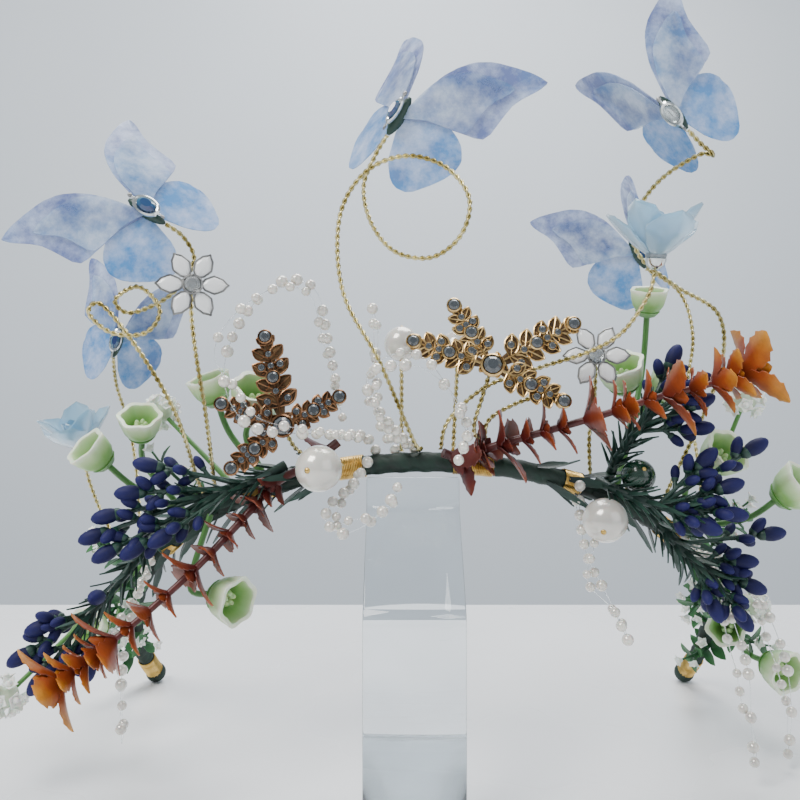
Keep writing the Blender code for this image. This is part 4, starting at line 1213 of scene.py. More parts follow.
@dataclass(frozen=True)
class BerrySpray(Tied):
    """Frosted buds on thin stalks from one stem."""

    stem: Route
    buds: tuple[tuple[float, Offset], ...]
    stem_radius: float = 1.5 * MM
    stalk_radius: float = 0.6 * MM
    bud_radius: float = 2.1 * MM
    bud_length: float = 8 * MM
    forks: int = 5
    needles: int = 40
    needle_length: float = 9 * MM
    needle_width: float = 1.3 * MM

    def build(self, kit: Kit) -> None:
        """Make the stem, its needles and its buds."""
        route = HOOP.tied(self.seat, self.stem_radius, self.stem, 6)
        last = len(route) - 1
        mould = Mould()
        radii = [self.stem_radius * (1 - 0.35 * index / last) for index in range(last + 1)]
        mould.tube(route, radii, 10, 0.3, 1)
        for index, (share, offset) in enumerate(self.buds):
            middle = route[0] + Vector(offset) * HOOP.radius
            start = route[round(share * last)]
            tip = middle + (middle - start).normalized() * self.bud_length / 2
            self.bud(mould, start, tip, 1.0)
            self.side_buds(mould, start, tip, index)
        for needle in range(self.needles):
            spot = round(mixed(0.12, 1.0, needle / self.needles) * last)
            axis = direction(route, spot)
            frame = turned_frame(axis, Vector((0.1, 0.3, 1)))
            side = spoke(frame, needle * GOLDEN_TURN)
            mould.leaf(route[spot], axis * 1.3 + side * 0.75, side, self.needle_length,
                       self.needle_width, LEAF_WALL, NEEDLE, (0.1, 0.9), 1)
        looks = kit.wear(Look.BERRY, Look.STEM)
        mould.piece(self.name + "_buds", looks, [self.name], 60)

    def bud(self, mould: Mould, start: Vector, tip: Vector, size: float) -> None:
        """Add one bud with its calyx and stalk."""
        axis = (tip - start).normalized()
        length = self.bud_length * size
        radius = self.bud_radius * size
        base = tip - axis * length
        near = Vector((0.2, 0.9, 0.3))
        mould.tube([start, start.lerp(base, 0.5), base + axis * length * 0.1],
                   [self.stalk_radius * 1.2, self.stalk_radius, self.stalk_radius], 6, 0.6, 1)
        scale = (radius, length)
        mould.turned(base, axis, near, BUD_SHAPE, [high for _, high in BUD_SHAPE], 12, scale=scale)
        mould.turned(base, axis, near, BUD_CALYX, CALYX_TONES, 10, 1, scale=scale)

    def side_buds(self, mould: Mould, start: Vector, tip: Vector, index: int) -> None:
        """Add small buds on the stalk, behind the large one."""
        axis = (tip - start).normalized()
        frame = turned_frame(axis, Vector((0.3, 0.2, 0.9)))
        reach = (tip - start).length - self.bud_length
        if reach < self.bud_length * 0.5:
            return
        for side in range(self.forks):
            outward = spoke(frame, index * GOLDEN_TURN + side * GOLDEN_TURN)
            share = (side + 1) / self.forks
            fork = start + axis * reach * (0.35 + 0.55 * share)
            end = fork + outward * self.bud_radius * 2.2 + axis * self.bud_length * 0.6
            self.bud(mould, fork, end, 0.56 + 0.18 * share)


BERRIES = [
    BerrySpray("berry_spray_left_upper", (-22, 20), ((-0.06, -0.03, -0.03), (-0.14, -0.06, -0.06),
        (-0.22, -0.08, -0.08)), ((0.5, (-0.34, -0.12, 0.01)), (0.6, (-0.38, -0.14, -0.06)), (0.8,
        (-0.44, -0.14, -0.12)), (0.9, (-0.47, -0.15, -0.17)), (0.8, (-0.43, -0.17, -0.21)), (0.7,
        (-0.36, -0.17, -0.20)), (0.6, (-0.29, -0.17, -0.17)))),
    BerrySpray("berry_spray_left_lower", (-50, 10), ((-0.01, -0.13, -0.04), (-0.06, -0.22, -0.12),
        (-0.11, -0.27, -0.18)), ((0.7, (-0.07, -0.30, -0.12)), (0.9, (-0.22, -0.30, -0.20)), (0.9,
        (-0.10, -0.28, -0.31)), (1.0, (-0.16, -0.30, -0.33)), (1.0, (-0.22, -0.31, -0.34)), (0.9,
        (-0.26, -0.32, -0.27)))),
    BerrySpray("berry_spray_right_upper", (30, 45), ((0.01, -0.05, 0.06), (0.04, -0.11, 0.13),
        (0.08, -0.14, 0.19)), ((0.8, (0.15, -0.10, 0.34)), (0.8, (0.21, -0.14, 0.22)), (1.0,
        (0.19, -0.17, 0.27)), (0.7, (0.21, -0.13, 0.15)))),
    BerrySpray("berry_spray_right_middle", (27, -10), ((0.04, -0.06, -0.02), (0.12, -0.10, -0.05),
        (0.19, -0.12, -0.06)), ((0.7, (0.25, -0.125, 0.07)), (0.8, (0.31, -0.13, 0.0)), (0.8,
        (0.31, -0.15, -0.07)), (0.6, (0.24, -0.16, -0.10)), (0.7, (0.38, -0.12, 0.10)))),
    BerrySpray("berry_spray_right_lower", (38, -35), ((0.03, -0.05, -0.05), (0.08, -0.08, -0.11),
        (0.14, -0.10, -0.16)), ((0.7, (0.22, -0.11, -0.12)), (0.8, (0.25, -0.10, -0.19)), (1.0,
        (0.21, -0.13, -0.27)), (0.7, (0.13, -0.14, -0.24)), (0.5, (0.31, -0.08, -0.05)))),
]


# Wires


@dataclass(frozen=True)
class WireSize:
    """Sizes of a twisted pair of wires."""

    radius: float = 0.65 * MM
    strand: float = 0.36 * MM
    pitch: float = 3.6 * MM
    step: float = 0.45 * MM


WIRE = WireSize()


def twisted_stem(kit: Kit, name: str, node: str, route: list[Vector]) -> None:
    """Make a twisted wire along a route for one solid."""
    mesh = kit.wire.run(route, {"Strand": WIRE.strand, "Pitch": WIRE.pitch, "Step": WIRE.step,
                                "Finish": kit.looks[Look.WIRE]})
    dressed(mesh, name, [], [node], 60)


# Butterflies


@dataclass(frozen=True)
class WingCut:
    """One cut of organza in shares of the span: distance from the body, distance forward."""

    label: str
    lead: Outline
    trail: Outline
    look: Look
    lift: float
    scale: float
    tone: float

    def flat(self, span: float) -> Pair:
        """Return the width and length of the cut before it was curved."""
        spots = self.lead + self.trail
        wide = [away for away, _ in spots]
        long = [forward for _, forward in spots]
        size = span * self.scale
        return (max(wide) - min(wide)) * size, (max(long) - min(long)) * size


FORE_LEAD = ((0.05, 0.14), (0.17, 0.54), (0.41, 0.82), (0.81, 0.96), (1.0, 0.98))
FORE_TRAIL = ((0.05, -0.02), (0.30, 0.10), (0.62, 0.165), (0.79, 0.24), (0.84, 0.61),
              (0.97, 0.86), (1.0, 0.955))
HIND_LEAD = ((0.05, 0.08), (0.40, 0.15), (0.60, 0.08), (0.69, -0.03), (0.70, -0.09))
HIND_TRAIL = ((0.05, -0.14), (0.13, -0.40), (0.27, -0.56), (0.44, -0.55), (0.62, -0.33),
              (0.685, -0.20), (0.70, -0.12))

WING_CUTS = [
    WingCut("fore", FORE_LEAD, FORE_TRAIL, Look.ORGANZA, 0.0, 1.0, -0.25),
    WingCut("hind", HIND_LEAD, HIND_TRAIL, Look.ORGANZA, -0.5 * MM, 1.0, 0.45),
    WingCut("over", FORE_LEAD, FORE_TRAIL, Look.PALE_ORGANZA, 0.9 * MM, 0.78, 0.0),
]


@dataclass(frozen=True)
class Butterfly:
    """A sheer butterfly over its twisted wire."""

    name: str
    axis: Offset
    right: Offset
    left: Offset
    size: float
    jewel: float
    stone: Look
    seat: Pair
    route: Route
    span: float = 28 * MM
    cloth: float = 0.25 * MM
    hub_radius: float = 1.8 * MM
    hub_length: float = 11 * MM
    jewel_width: float = 5.4 * MM
    jewel_length: float = 7.6 * MM
    jewel_depth: float = 2.2 * MM
    camber: float = 0.9 * MM
    columns: int = 13
    rows: int = 15
    hub_rows: int = 34
    hub_grooves: int = 12
    hub_groove_depth: float = 0.05

    def build(self, kit: Kit) -> None:
        """Make the wire, the wings and the body."""
        axis = Vector(self.axis).normalized()
        right = Vector(self.right)
        left = Vector(self.left)
        right = (right - axis * right.dot(axis)).normalized()
        left = (left - axis * left.dot(axis)).normalized()
        top = -(right + left).normalized()
        route = HOOP.tied(self.seat, WIRE.radius, self.route)
        twisted_stem(kit, self.name + "_stem", self.name + "_wire", route)
        coarse = HOOP.tied(self.seat, WIRE.radius, self.route, 2)
        arrival = direction(coarse, len(coarse) - 1)
        middle = coarse[-1] + arrival * HOOP.gap + axis * self.hub_length / 2
        self.hub(kit, middle, axis, top)
        for label, outward in (("right", right), ("left", left)):
            for cut in WING_CUTS:
                self.wing(kit, cut, label, middle, axis, outward, top)
        self.body(kit, middle + top * (self.hub_radius + HOOP.gap), axis, top)

    def hub(self, kit: Kit, middle: Vector, axis: Vector, top: Vector) -> None:
        """Make the wrapped core that the wings are tied to."""
        mould = Mould()
        rows = []
        for index in range(self.hub_rows + 1):
            share = index / self.hub_rows
            bulge = math.sin(math.pi * mixed(0.03, 0.97, share))
            groove = 1 + self.hub_groove_depth * math.cos(share * math.tau * self.hub_grooves)
            rows.append((self.hub_radius * bulge ** 0.6 * groove,
                         (share - 0.5) * self.hub_length))
        mould.turned(middle, axis, top, rows, [0.5] * len(rows), 14)
        mould.piece(self.name + "_hub", kit.wear(Look.STEM),
                    [self.name + "_wings"], 60)

    def wing(self, kit: Kit, cut: WingCut, side: str, middle: Vector, axis: Vector,
             outward: Vector, top: Vector) -> None:
        """Make one sheet of one wing.

        Args:
            kit: the finishes.
            cut: the shape of the sheet.
            side: which side it is on.
            middle: the middle of the hub.
            axis: the body's direction.
            outward: the wing's direction.
            top: the side that the jewel is on.
        """
        span = self.span * self.size
        across = outward.cross(axis).normalized()
        if across.dot(top) < 0:
            across = -across
        lead = smooth([Vector((*spot, 0)) for spot in cut.lead], 6)
        trail = smooth([Vector((*spot, 0)) for spot in cut.trail], 6)
        grid = []
        tones = []
        for row in range(self.rows + 1):
            share = row / self.rows
            start = lead[round(share * (len(lead) - 1))]
            end = trail[round(share * (len(trail) - 1))]
            line = []
            tone = []
            for column in range(self.columns):
                part = column / (self.columns - 1)
                spot = start.lerp(end, part) * span * cut.scale
                wave = math.sin(share * 5 + part * 3) * 0.3 + math.sin(part * 9 - share * 2) * 0.16
                bulge = self.camber * (math.sin(share * math.pi) * 0.9 + wave * share)
                place = middle + outward * spot.x + axis * spot.y
                line.append(place + across * (cut.lift + bulge))
                tone.append(cut.tone + 0.3 * abs(part - 0.5))
            grid.append(line)
            tones.append(tone)
        mould = Mould()
        mould.shell(grid, tones, self.cloth)
        name = f"{self.name}_{side}_{cut.label}"
        item = mould.piece(name, kit.wear(cut.look), [self.name + "_wings"], 70)

    def body(self, kit: Kit, seat: Vector, axis: Vector, top: Vector) -> None:
        """Make the setting, its stone and the thin rod with its head and tail."""
        half_width = self.jewel_width / 2 * self.jewel
        half_length = self.jewel_length / 2
        mould = Mould()
        depth = self.jewel_depth
        mould.turned(seat, top, axis, STONE_RIM, sides=28, flat=half_width / half_length,
                     scale=(half_length, depth))
        stone = seat + top * depth * 0.36
        mould.stone(stone, top, axis, half_length * 0.68, half_width * 0.68, depth * 0.62, 12,
                    0.0, 1)
        middle = seat + top * depth * 0.24
        reach = self.hub_length * 0.45
        line = [middle + axis * reach * (step / 6 - 1) for step in range(13)]
        thin = depth * 0.18
        radii = [thin * (0.55 + 0.45 * math.sin(math.pi * (0.1 + 0.8 * step / 12)))
                 for step in range(13)]
        mould.tube(line, radii, 10, 0.0, 0)
        mould.ball(middle + axis * reach, (thin * 1.5, thin * 1.5, thin * 1.7), axis, top, 12, 8,
                   0.0, 2)
        mould.ball(middle - axis * reach, (thin * 0.9, thin * 0.9, thin * 2.0), axis, top, 12, 8,
                   0.0, 2)
        mould.piece(self.name + "_jewel", kit.wear(Look.SILVER, self.stone, Look.DARK_METAL),
                    [self.name + "_body"], 30)


BUTTERFLIES = [
    Butterfly("butterfly_centre", (0.52, 0, 0.85), (0.85, 0, -0.52), (-0.43, 0.87, 0.26), 1.0, 0.55,
        Look.DEEP_STONE, (-1, 62), ((-0.02, -0.06, 0.02), (-0.11, -0.14, 0.23), (-0.20, -0.16, 0.40),
        (-0.21, -0.18, 0.58), (-0.15, -0.20, 0.69), (-0.05, -0.22, 0.73), (0.05, -0.24, 0.70),
        (0.11, -0.25, 0.62), (0.09, -0.25, 0.53), (0.02, -0.23, 0.48), (-0.07, -0.20, 0.50),
        (-0.13, -0.16, 0.58), (-0.15, -0.13, 0.68), (-0.12, -0.13, 0.76), (-0.09, -0.13, 0.81))),
    Butterfly("butterfly_left_front", (-0.83, 0, 0.55), (0.47, 0.70, 0.54), (-0.55, -0.10, -0.83), 0.95,
        1.0, Look.DEEP_STONE, (-39, 60), ((0.0, -0.10, 0.07), (-0.02, -0.25, 0.26), (-0.09, -0.33, 0.42),
        (-0.17, -0.36, 0.53), (-0.20, -0.37, 0.51), (-0.14, -0.38, 0.46), (-0.06, -0.37, 0.46),
        (-0.03, -0.35, 0.52), (-0.09, -0.33, 0.58), (-0.16, -0.30, 0.55), (-0.13, -0.27, 0.52),
        (-0.04, -0.23, 0.57), (0.02, -0.22, 0.66), (0.0, -0.24, 0.72), (-0.04, -0.27, 0.75))),
    Butterfly("butterfly_right_front", (-0.66, 0, 0.75), (0.71, 0.25, 0.63), (-0.10, 0.99, -0.05), 0.95,
        0.8, Look.CRYSTAL, (42, 40), ((0.04, -0.01, 0.10), (0.11, -0.05, 0.28), (0.13, -0.14, 0.44),
        (0.10, -0.18, 0.56), (-0.02, -0.20, 0.63), (-0.12, -0.21, 0.71), (-0.14, -0.22, 0.80),
        (-0.08, -0.24, 0.90), (0.02, -0.26, 0.965), (0.055, -0.27, 0.96), (0.02, -0.28, 0.985),
        (-0.02, -0.29, 1.02))),
    Butterfly("butterfly_left_back", (0.25, 0, 0.97), (0.60, 0.78, -0.16), (-0.80, 0.57, 0.15), 0.9, 0.7,
        Look.DEEP_STONE, (-62, 60), ((-0.03, 0.07, 0.12), (-0.06, 0.13, 0.28), (-0.09, 0.14, 0.44),
        (-0.11, 0.08, 0.57), (-0.10, 0.02, 0.66))),
    Butterfly("butterfly_right_back", (-0.45, 0, 0.89), (0.55, 0.78, 0.28), (-0.77, 0.50, -0.39), 0.95,
        0.7, Look.DEEP_STONE, (58, 60), ((0.02, 0.03, 0.15), (0.01, 0.05, 0.32), (-0.02, 0.05, 0.50),
        (0.0, 0.05, 0.68), (-0.04, 0.05, 0.82), (-0.15, 0.05, 0.90))),
]


# Flowers on wires

PETAL_OUTLINE = ((0.0, 0.14), (0.3, 0.72), (0.55, 1.0), (0.8, 0.72), (0.93, 0.32), (1.0, 0.03))
GLASS_PETAL = Blade(PETAL_OUTLINE, 12, 7, curl=0.24, trough=0.2, ripple=0.01)
FLORET_PETAL = Blade(PETAL_OUTLINE, 4, 3, curl=-0.2, trough=0.1)


@dataclass(frozen=True)
class GlassFlower(Tied):
    """Two rings of cupped glass petals round a crystal heart."""

    size: float
    axis: Offset
    route: Route
    radius: float = 11.5 * MM
    height: float = 14 * MM
    petals: int = 6
    thickness: float = 0.7 * MM
    inner: float = 0.72
    flare: float = 1.18

    def build(self, kit: Kit) -> None:
        """Make the wire and the flower."""
        route = HOOP.tied(self.seat, WIRE.radius, self.route)
        twisted_stem(kit, self.name + "_stem", self.name + "_wire", route)
        axis = Vector(self.axis).normalized()
        heart_radius = self.radius * 0.24
        heart = route[-1] + axis * (heart_radius + HOOP.gap + WIRE.radius)
        frame = turned_frame(axis, Vector((1, 0.1, 0)))
        mould = Mould()
        mould.stone(heart, axis, frame.col[0], heart_radius, heart_radius, heart_radius, 10, 0.0, 1)
        mould.turned(heart, axis, frame.col[0], HEART_CUP, finish=2, scale=(heart_radius,) * 2)
        for petal in range(self.petals):
            for ring in range(2):
                outward = spoke(frame, (petal + 0.5 + 0.5 * ring) * math.tau / self.petals)
                rise = 0.55 + 0.45 * (petal % 2) + 1.2 * ring
                scale = self.size * (self.inner if ring else self.flare)
                mould.leaf(heart, outward * 1.15 + axis * rise, axis, self.height * scale,
                           self.radius * 0.9 * scale, self.thickness, GLASS_PETAL)
        mould.piece(self.name + "_petals", kit.wear(Look.GLASS, Look.CRYSTAL, Look.SILVER),
                    [self.name], 45)


GLASS_FLOWERS = [
    GlassFlower("glass_flower_right", (2, 60), 1.0, (0.05, -0.15, 1.0), ((0.02, -0.03, 0.08),
        (0.12, -0.05, 0.17), (0.26, -0.08, 0.22), (0.38, -0.12, 0.26), (0.46, -0.14, 0.31),
        (0.52, -0.15, 0.40), (0.535, -0.15, 0.455))),
    GlassFlower("glass_flower_left", (-64, 40), 0.95, (-0.2, -0.3, 0.93), ((-0.06, 0.02, 0.08),
        (-0.12, 0.03, 0.18), (-0.155, 0.01, 0.29), (-0.165, 0.0, 0.36))),
]

MARQUISE = [(0.0, 0.05), (0.25, 0.72), (0.5, 1.0), (0.75, 0.72), (1.0, 0.05)]


@dataclass(frozen=True)
class EnamelFlower(Tied):
    """Six enamel petals in dark rims round a claw-set crystal."""

    axis: Offset
    route: Route
    radius: float = 9 * MM
    petal_width: float = 4.6 * MM
    thickness: float = 1.8 * MM
    petals: int = 6
    rim: float = 0.24 * MM
    claws: int = 6
    edge_steps: int = 28

    def build(self, kit: Kit) -> None:
        """Make the wire and the flower."""
        route = HOOP.tied(self.seat, WIRE.radius, self.route)
        twisted_stem(kit, self.name + "_stem", self.name + "_wire", route)
        axis = Vector(self.axis).normalized()
        frame = turned_frame(axis, Vector((0, 0, 1)))
        middle = held_off(route[-1], axis, self.thickness)
        mould = Mould()
        for petal in range(self.petals):
            angle = (petal + 0.5) * math.tau / self.petals
            self.petal(mould, middle, axis, spoke(frame, angle))
        heart = self.radius * 0.3
        mould.turned(middle, axis, frame.col[0], CLAW_CUP, sides=20, finish=1,
                     scale=(heart, self.thickness))
        mould.stone(middle + axis * self.thickness * 0.2, axis, frame.col[0], heart * 0.76,
                    heart * 0.76, self.thickness * 0.9, 10, 0.0, 2)
        for claw in range(self.claws):
            outward = spoke(frame, claw * math.tau / self.claws)
            spot = middle + outward * heart * 0.86 + axis * self.thickness * 0.5
            mould.ball(spot, (self.rim, self.rim, self.rim * 1.6), axis, outward, 8, 5, 0.0, 1)
        mould.piece(self.name + "_petals", kit.wear(Look.ENAMEL, Look.DARK_METAL, Look.CRYSTAL),
                    [self.name], 45)

    def petal(self, mould: Mould, middle: Vector, axis: Vector, outward: Vector) -> None:
        """Add one petal: its enamel dome and the rim round it."""
        length = self.radius * 0.8
        foot = middle + outward * (self.radius - length)
        side = outward.cross(axis)
        edge = []
        for step in range(self.edge_steps):
            turn = step * math.tau / self.edge_steps
            along = (1 - math.cos(turn)) / 2
            half = profile(MARQUISE, along) * self.petal_width / 2
            edge.append((along, half * (1 if turn < math.pi else -1)))
        rings = []
        for spread, height in ENAMEL_DOME:
            ring = []
            for along, half in edge:
                point = foot + outward * length * mixed(0.5, along, spread)
                ring.append(point + side * half * spread + axis * self.thickness * height)
            rings.append(ring)
        mould.loft(rings)
        line = []
        for along, half in edge:
            line.append(foot + outward * length * along + side * half + axis * self.rim)
        line.append(line[0])
        mould.tube(line, self.rim, 6, 0.0, 1)


ENAMEL_FLOWERS = [
    EnamelFlower("white_flower_left", (-36, 45), (0.25, -0.95, 0.1), ((0.01, -0.08, 0.05),
        (0.02, -0.17, 0.15), (0.02, -0.23, 0.26), (0.01, -0.27, 0.38), (0.0, -0.28, 0.49),
        (0.0, -0.27, 0.56))),
    EnamelFlower("white_flower_right", (27, 62), (-0.1, -0.96, 0.2), ((-0.01, -0.03, 0.11),
        (0.0, -0.05, 0.22), (0.0, -0.06, 0.33))),
]


# Leaf ornaments with stones

LEAFLET = Blade(((0.0, 0.16), (0.28, 0.5), (0.45, 0.42), (0.62, 0.46), (0.8, 0.34), (1.0, 0.02)),
                12, 3)
LOBE = Blade(((0.0, 0.3), (0.35, 0.9), (0.6, 1.0), (0.85, 0.62), (1.0, 0.08)), 6, 3)


@dataclass(frozen=True)
class LeafOrnament(Tied):
    """Veined metal leaflets round one stone, on a bare twisted wire."""

    axis: Offset
    route: Route
    stubs: tuple[Route, ...]
    leaflets: Outline
    metal: Look
    length: float = 23 * MM
    width: float = 9 * MM
    thickness: float = 1.4 * MM
    stone_radius: float = 1.7 * MM
    vein: float = 0.27 * MM
    lobes: int = 6
    stagger: float = 0.15
    stones: Outline = ((0.5, 0.0), (0.92, 0.0), (0.27, 0.26), (0.62, 0.24))
    side_stone: float = 0.62
    studs: tuple[float, ...] = (0.36, 0.62, 0.74)
    stud: float = 0.55

    def build(self, kit: Kit) -> None:
        """Make the wires and the leaflets."""
        leaving = [self.route[0]] + [stub[0] for stub in self.stubs]
        seat = HOOP.seat(self.seat, WIRE.radius, leaving)
        route = smooth(HOOP.along(seat, self.route), 8)
        twisted_stem(kit, self.name + "_stem", self.name + "_wire", route)
        for index, stub in enumerate(self.stubs):
            line = smooth(HOOP.along(seat, stub), 8)
            twisted_stem(kit, f"{self.name}_stub_{index + 1}", self.name + "_wire", line)
        axis = Vector(self.axis).normalized()
        frame = turned_frame(axis, Vector((0, 0, 1)))
        middle = held_off(route[-1], axis, self.thickness)
        mould = Mould()
        for index, (angle, size) in enumerate(self.leaflets):
            outward = spoke(frame, math.radians(-angle))
            foot = middle + axis * self.thickness * self.stagger * index
            self.leaflet(mould, foot, outward, axis, size)
        self.setting(mould, middle + axis * self.thickness * 0.4, axis, self.width * 0.30)
        looks = kit.wear(self.metal, Look.GREY_STONE, Look.PATINA)
        mould.piece(self.name + "_leaves", looks, [self.name], 40)

    def leaflet(self, mould: Mould, foot: Vector, outward: Vector, axis: Vector,
                size: float) -> None:
        """Add one leaflet: its rib, its small lobes on both sides and its stones."""
        length = self.length * size
        width = self.width * 2 * size
        side = outward.cross(axis)
        face = axis * self.thickness * 0.4
        mould.leaf(foot, outward, axis, length * 0.96, width * 0.34, self.thickness * 0.8, LEAFLET,
                   finish=2)
        rib = [foot + face + outward * length * share / 8 for share in range(9)]
        mould.tube(rib, [self.vein * (1.6 - share / 8) for share in range(9)], 6)
        for step in range(self.lobes):
            share = mixed(0.06, 0.84, step / (self.lobes - 1))
            half = max(profile(LEAFLET.outline, share + 0.04), 0.2) * width / 2
            start = foot + outward * length * share + axis * self.thickness * 0.06 * (step % 2)
            for hand in (-1, 1):
                run = outward * mixed(0.5, 1.0, share) + side * hand
                self.lobe(mould, start, run.normalized(), axis, half * mixed(1.15, 1.35, share))
        self.lobe(mould, foot + outward * length * 0.76, outward, axis, length * 0.22)
        for share, reach in self.stones:
            radius = self.stone_radius * (self.side_stone if reach else 1.0)
            for hand in (-1, 1) if reach else (1,):
                spot = foot + outward * length * share + side * width * reach * 0.5 * hand
                self.setting(mould, spot + face * 0.5, axis, radius)
        for share in self.studs:
            self.setting(mould, foot + outward * length * share + face * 0.6, axis,
                         self.stone_radius * self.stud)

    def lobe(self, mould: Mould, start: Vector, run: Vector, axis: Vector, length: float) -> None:
        """Add one small lobe: a dark blade with a bright edge, a bright rib and two veins.

        Args:
            mould: where the faces go.
            start: where it leaves the leaflet's rib.
            run: the direction that it grows in.
            axis: the side that the ornament looks to.
            length: from its start to its tip.
        """
        width = length * 0.62
        mould.leaf(start, run, axis, length, width, self.thickness * 0.5, LOBE, finish=2)
        side = run.cross(axis)
        lift = axis * self.thickness * 0.3
        edge = []
        for hand in (-1, 1):
            for step in range(7):
                share = step / 6 if hand < 0 else 1 - step / 6
                spread = side * hand * profile(LOBE.outline, share) * width / 2
                edge.append(start + run * length * share + spread + lift)
        mould.tube(edge, self.vein * 0.9, 5)
        mould.tube([start + lift, start + run * length * 0.5 + lift * 1.3,
                    start + run * length * 0.94 + lift], self.vein * 0.8, 5)
        for hand in (-1, 1):
            fork = start + run * length * 0.32 + lift
            mould.tube([fork, fork + (run * 0.6 + side * hand) * width * 0.3], self.vein * 0.6, 4)

    def setting(self, mould: Mould, seat: Vector, axis: Vector, radius: float) -> None:
        """Add one stone in a beaded collar."""
        near = Vector((0.3, 0.1, 1))
        mould.turned(seat, axis, near, COLLAR, scale=(radius, radius))
        mould.stone(seat + axis * radius * 0.45, axis, near, radius * 0.86, radius * 0.86,
                    radius * 0.5, 10, 0.0, 1)


ORNAMENTS = [
    LeafOrnament("leaf_ornament_left", (-17, 45), (0.05, -0.97, 0.15), ((-0.05, -0.07, 0.03),
        (-0.08, -0.10, 0.09)), (), ((-12, 1.15), (62, 0.78), (-70, 0.8), (-130, 0.8)), Look.BRONZE),
    LeafOrnament("leaf_ornament_right", (9, 45), (0.0, -0.97, 0.25), ((-0.04, -0.06, 0.06),
        (-0.02, -0.09, 0.15), (0.0, -0.11, 0.22)), (((0.0, -0.02, 0.08), (0.07, -0.06, 0.13),
        (0.16, -0.10, 0.16)),), ((62, 1.15), (-30, 0.9), (-72, 1.0), (118, 0.95)), Look.GOLD),
]


# Pearls, cups, fillers and strings


@dataclass(frozen=True)
class ThreadedBead(Tied):
    """A large bead on its own wire, with a small cap where the wire goes in."""

    radius: float
    offset: Offset
    look: Look
    slot: str = "pearl_white"

    def build(self, kit: Kit) -> None:
        """Make the bead, its caps and its wire."""
        seat = HOOP.seat(self.seat, WIRE.radius, [self.offset])
        middle = seat + Vector(self.offset) * HOOP.radius
        axis = (middle - seat).normalized()
        near = Vector((0.2, 0.3, 0.9))
        mould = Mould()
        mould.ball(middle, (self.radius,) * 3, axis, near, 40, 24)
        line = [seat.lerp(middle - axis * self.radius * 0.9, step / 4) for step in range(5)]
        twisted_stem(kit, self.name + "_pin", self.name, line)
        for hand in (-1, 1):
            pole = middle + axis * self.radius * hand * 0.93
            mould.turned(pole, axis * hand, near, BEAD_CAP, sides=14, finish=1,
                         scale=(self.radius,) * 2)
        mould.piece(self.name + "_bead", kit.wear(self.look, Look.THREAD), [self.name])


BEADS = [
    ThreadedBead("pearl_left", (-13, -25), 6 * MM, (-0.05, -0.12, 0.0), Look.PEARL),
    ThreadedBead("pearl_back_left", (-4, 75), 5 * MM, (0.0, 0.08, 0.30), Look.PEARL),
    ThreadedBead("pearl_back_right", (4, 75), 5 * MM, (0.02, 0.08, 0.29), Look.PEARL),
    ThreadedBead("pearl_right", (30, -75), 6 * MM, (-0.03, -0.09, -0.04), Look.PEARL),
    ThreadedBead("green_berry", (33, 15), 4.6 * MM, (0.01, -0.09, 0.05), Look.GREEN_BEAD,
                 "berry_green"),
]


@dataclass(frozen=True)
class CupSpray(Tied):
    """Fluted cup flowers on curved stalks from one seat."""

    cups: tuple[tuple[Offset, Offset, float], ...]
    stalk: float = 0.9 * MM
    radius: float = 6 * MM
    depth: float = 9 * MM
    wall: float = 0.7 * MM
    lobes: int = 6
    lobe_depth: float = 0.07
    stamens: int = 5
    sides: int = 36

    def build(self, kit: Kit) -> None:
        """Make the stalks and the cups."""
        bends = []
        for offset, opening, _ in self.cups:
            reach = Vector(offset)
            bends.append(reach - Vector(opening).normalized() * reach.length * 0.4)
        seat = HOOP.seat(self.seat, self.stalk, bends)
        mould = Mould()
        for bend, (offset, opening, size) in zip(bends, self.cups):
            foot = seat + Vector(offset) * HOOP.radius
            axis = Vector(opening).normalized()
            route = smooth([seat, seat + bend * HOOP.radius, foot + axis * self.wall * 0.5], 8)
            mould.tube(route, self.stalk, 8, 0.4, 1)
            self.cup(mould, foot, axis, size)
        mould.piece(self.name + "_cups", kit.wear(Look.CUP, Look.SPRING), [self.name],
                    60)

    def cup(self, mould: Mould, foot: Vector, axis: Vector, size: float) -> None:
        """Add one cup with its rolled rim, its calyx and the buds inside."""
        radius = self.radius * size
        depth = self.depth * size
        near = Vector((1, 0.1, 0.1))
        wall = self.wall / radius
        inside = [(0.92 - wall, 0.98), (0.88 - wall, 0.85), (0.78 - wall, 0.6), (0.6 - wall, 0.38),
                  (0.3, 0.24), (0.04, 0.2)]
        scale = (radius, depth)
        tones = [high for _, high in CUP_OUTSIDE] + CUP_INSIDE_TONES
        mould.turned(foot, axis, near, CUP_OUTSIDE + inside, tones, self.sides, lobes=self.lobes,
                     lobe_depth=self.lobe_depth, scale=scale)
        mould.turned(foot, axis, near, CUP_CALYX, CALYX_TONES, 18, 1, scale=scale)
        frame = turned_frame(axis, near)
        for bud in range(self.stamens):
            spread = spoke(frame, bud * math.tau / self.stamens) * radius * 0.22
            spot = foot + axis * depth * 0.5 + spread
            mould.ball(spot, (radius * 0.15, radius * 0.15, depth * 0.22), axis + spread * 20, near,
                       8, 6, 0.75)


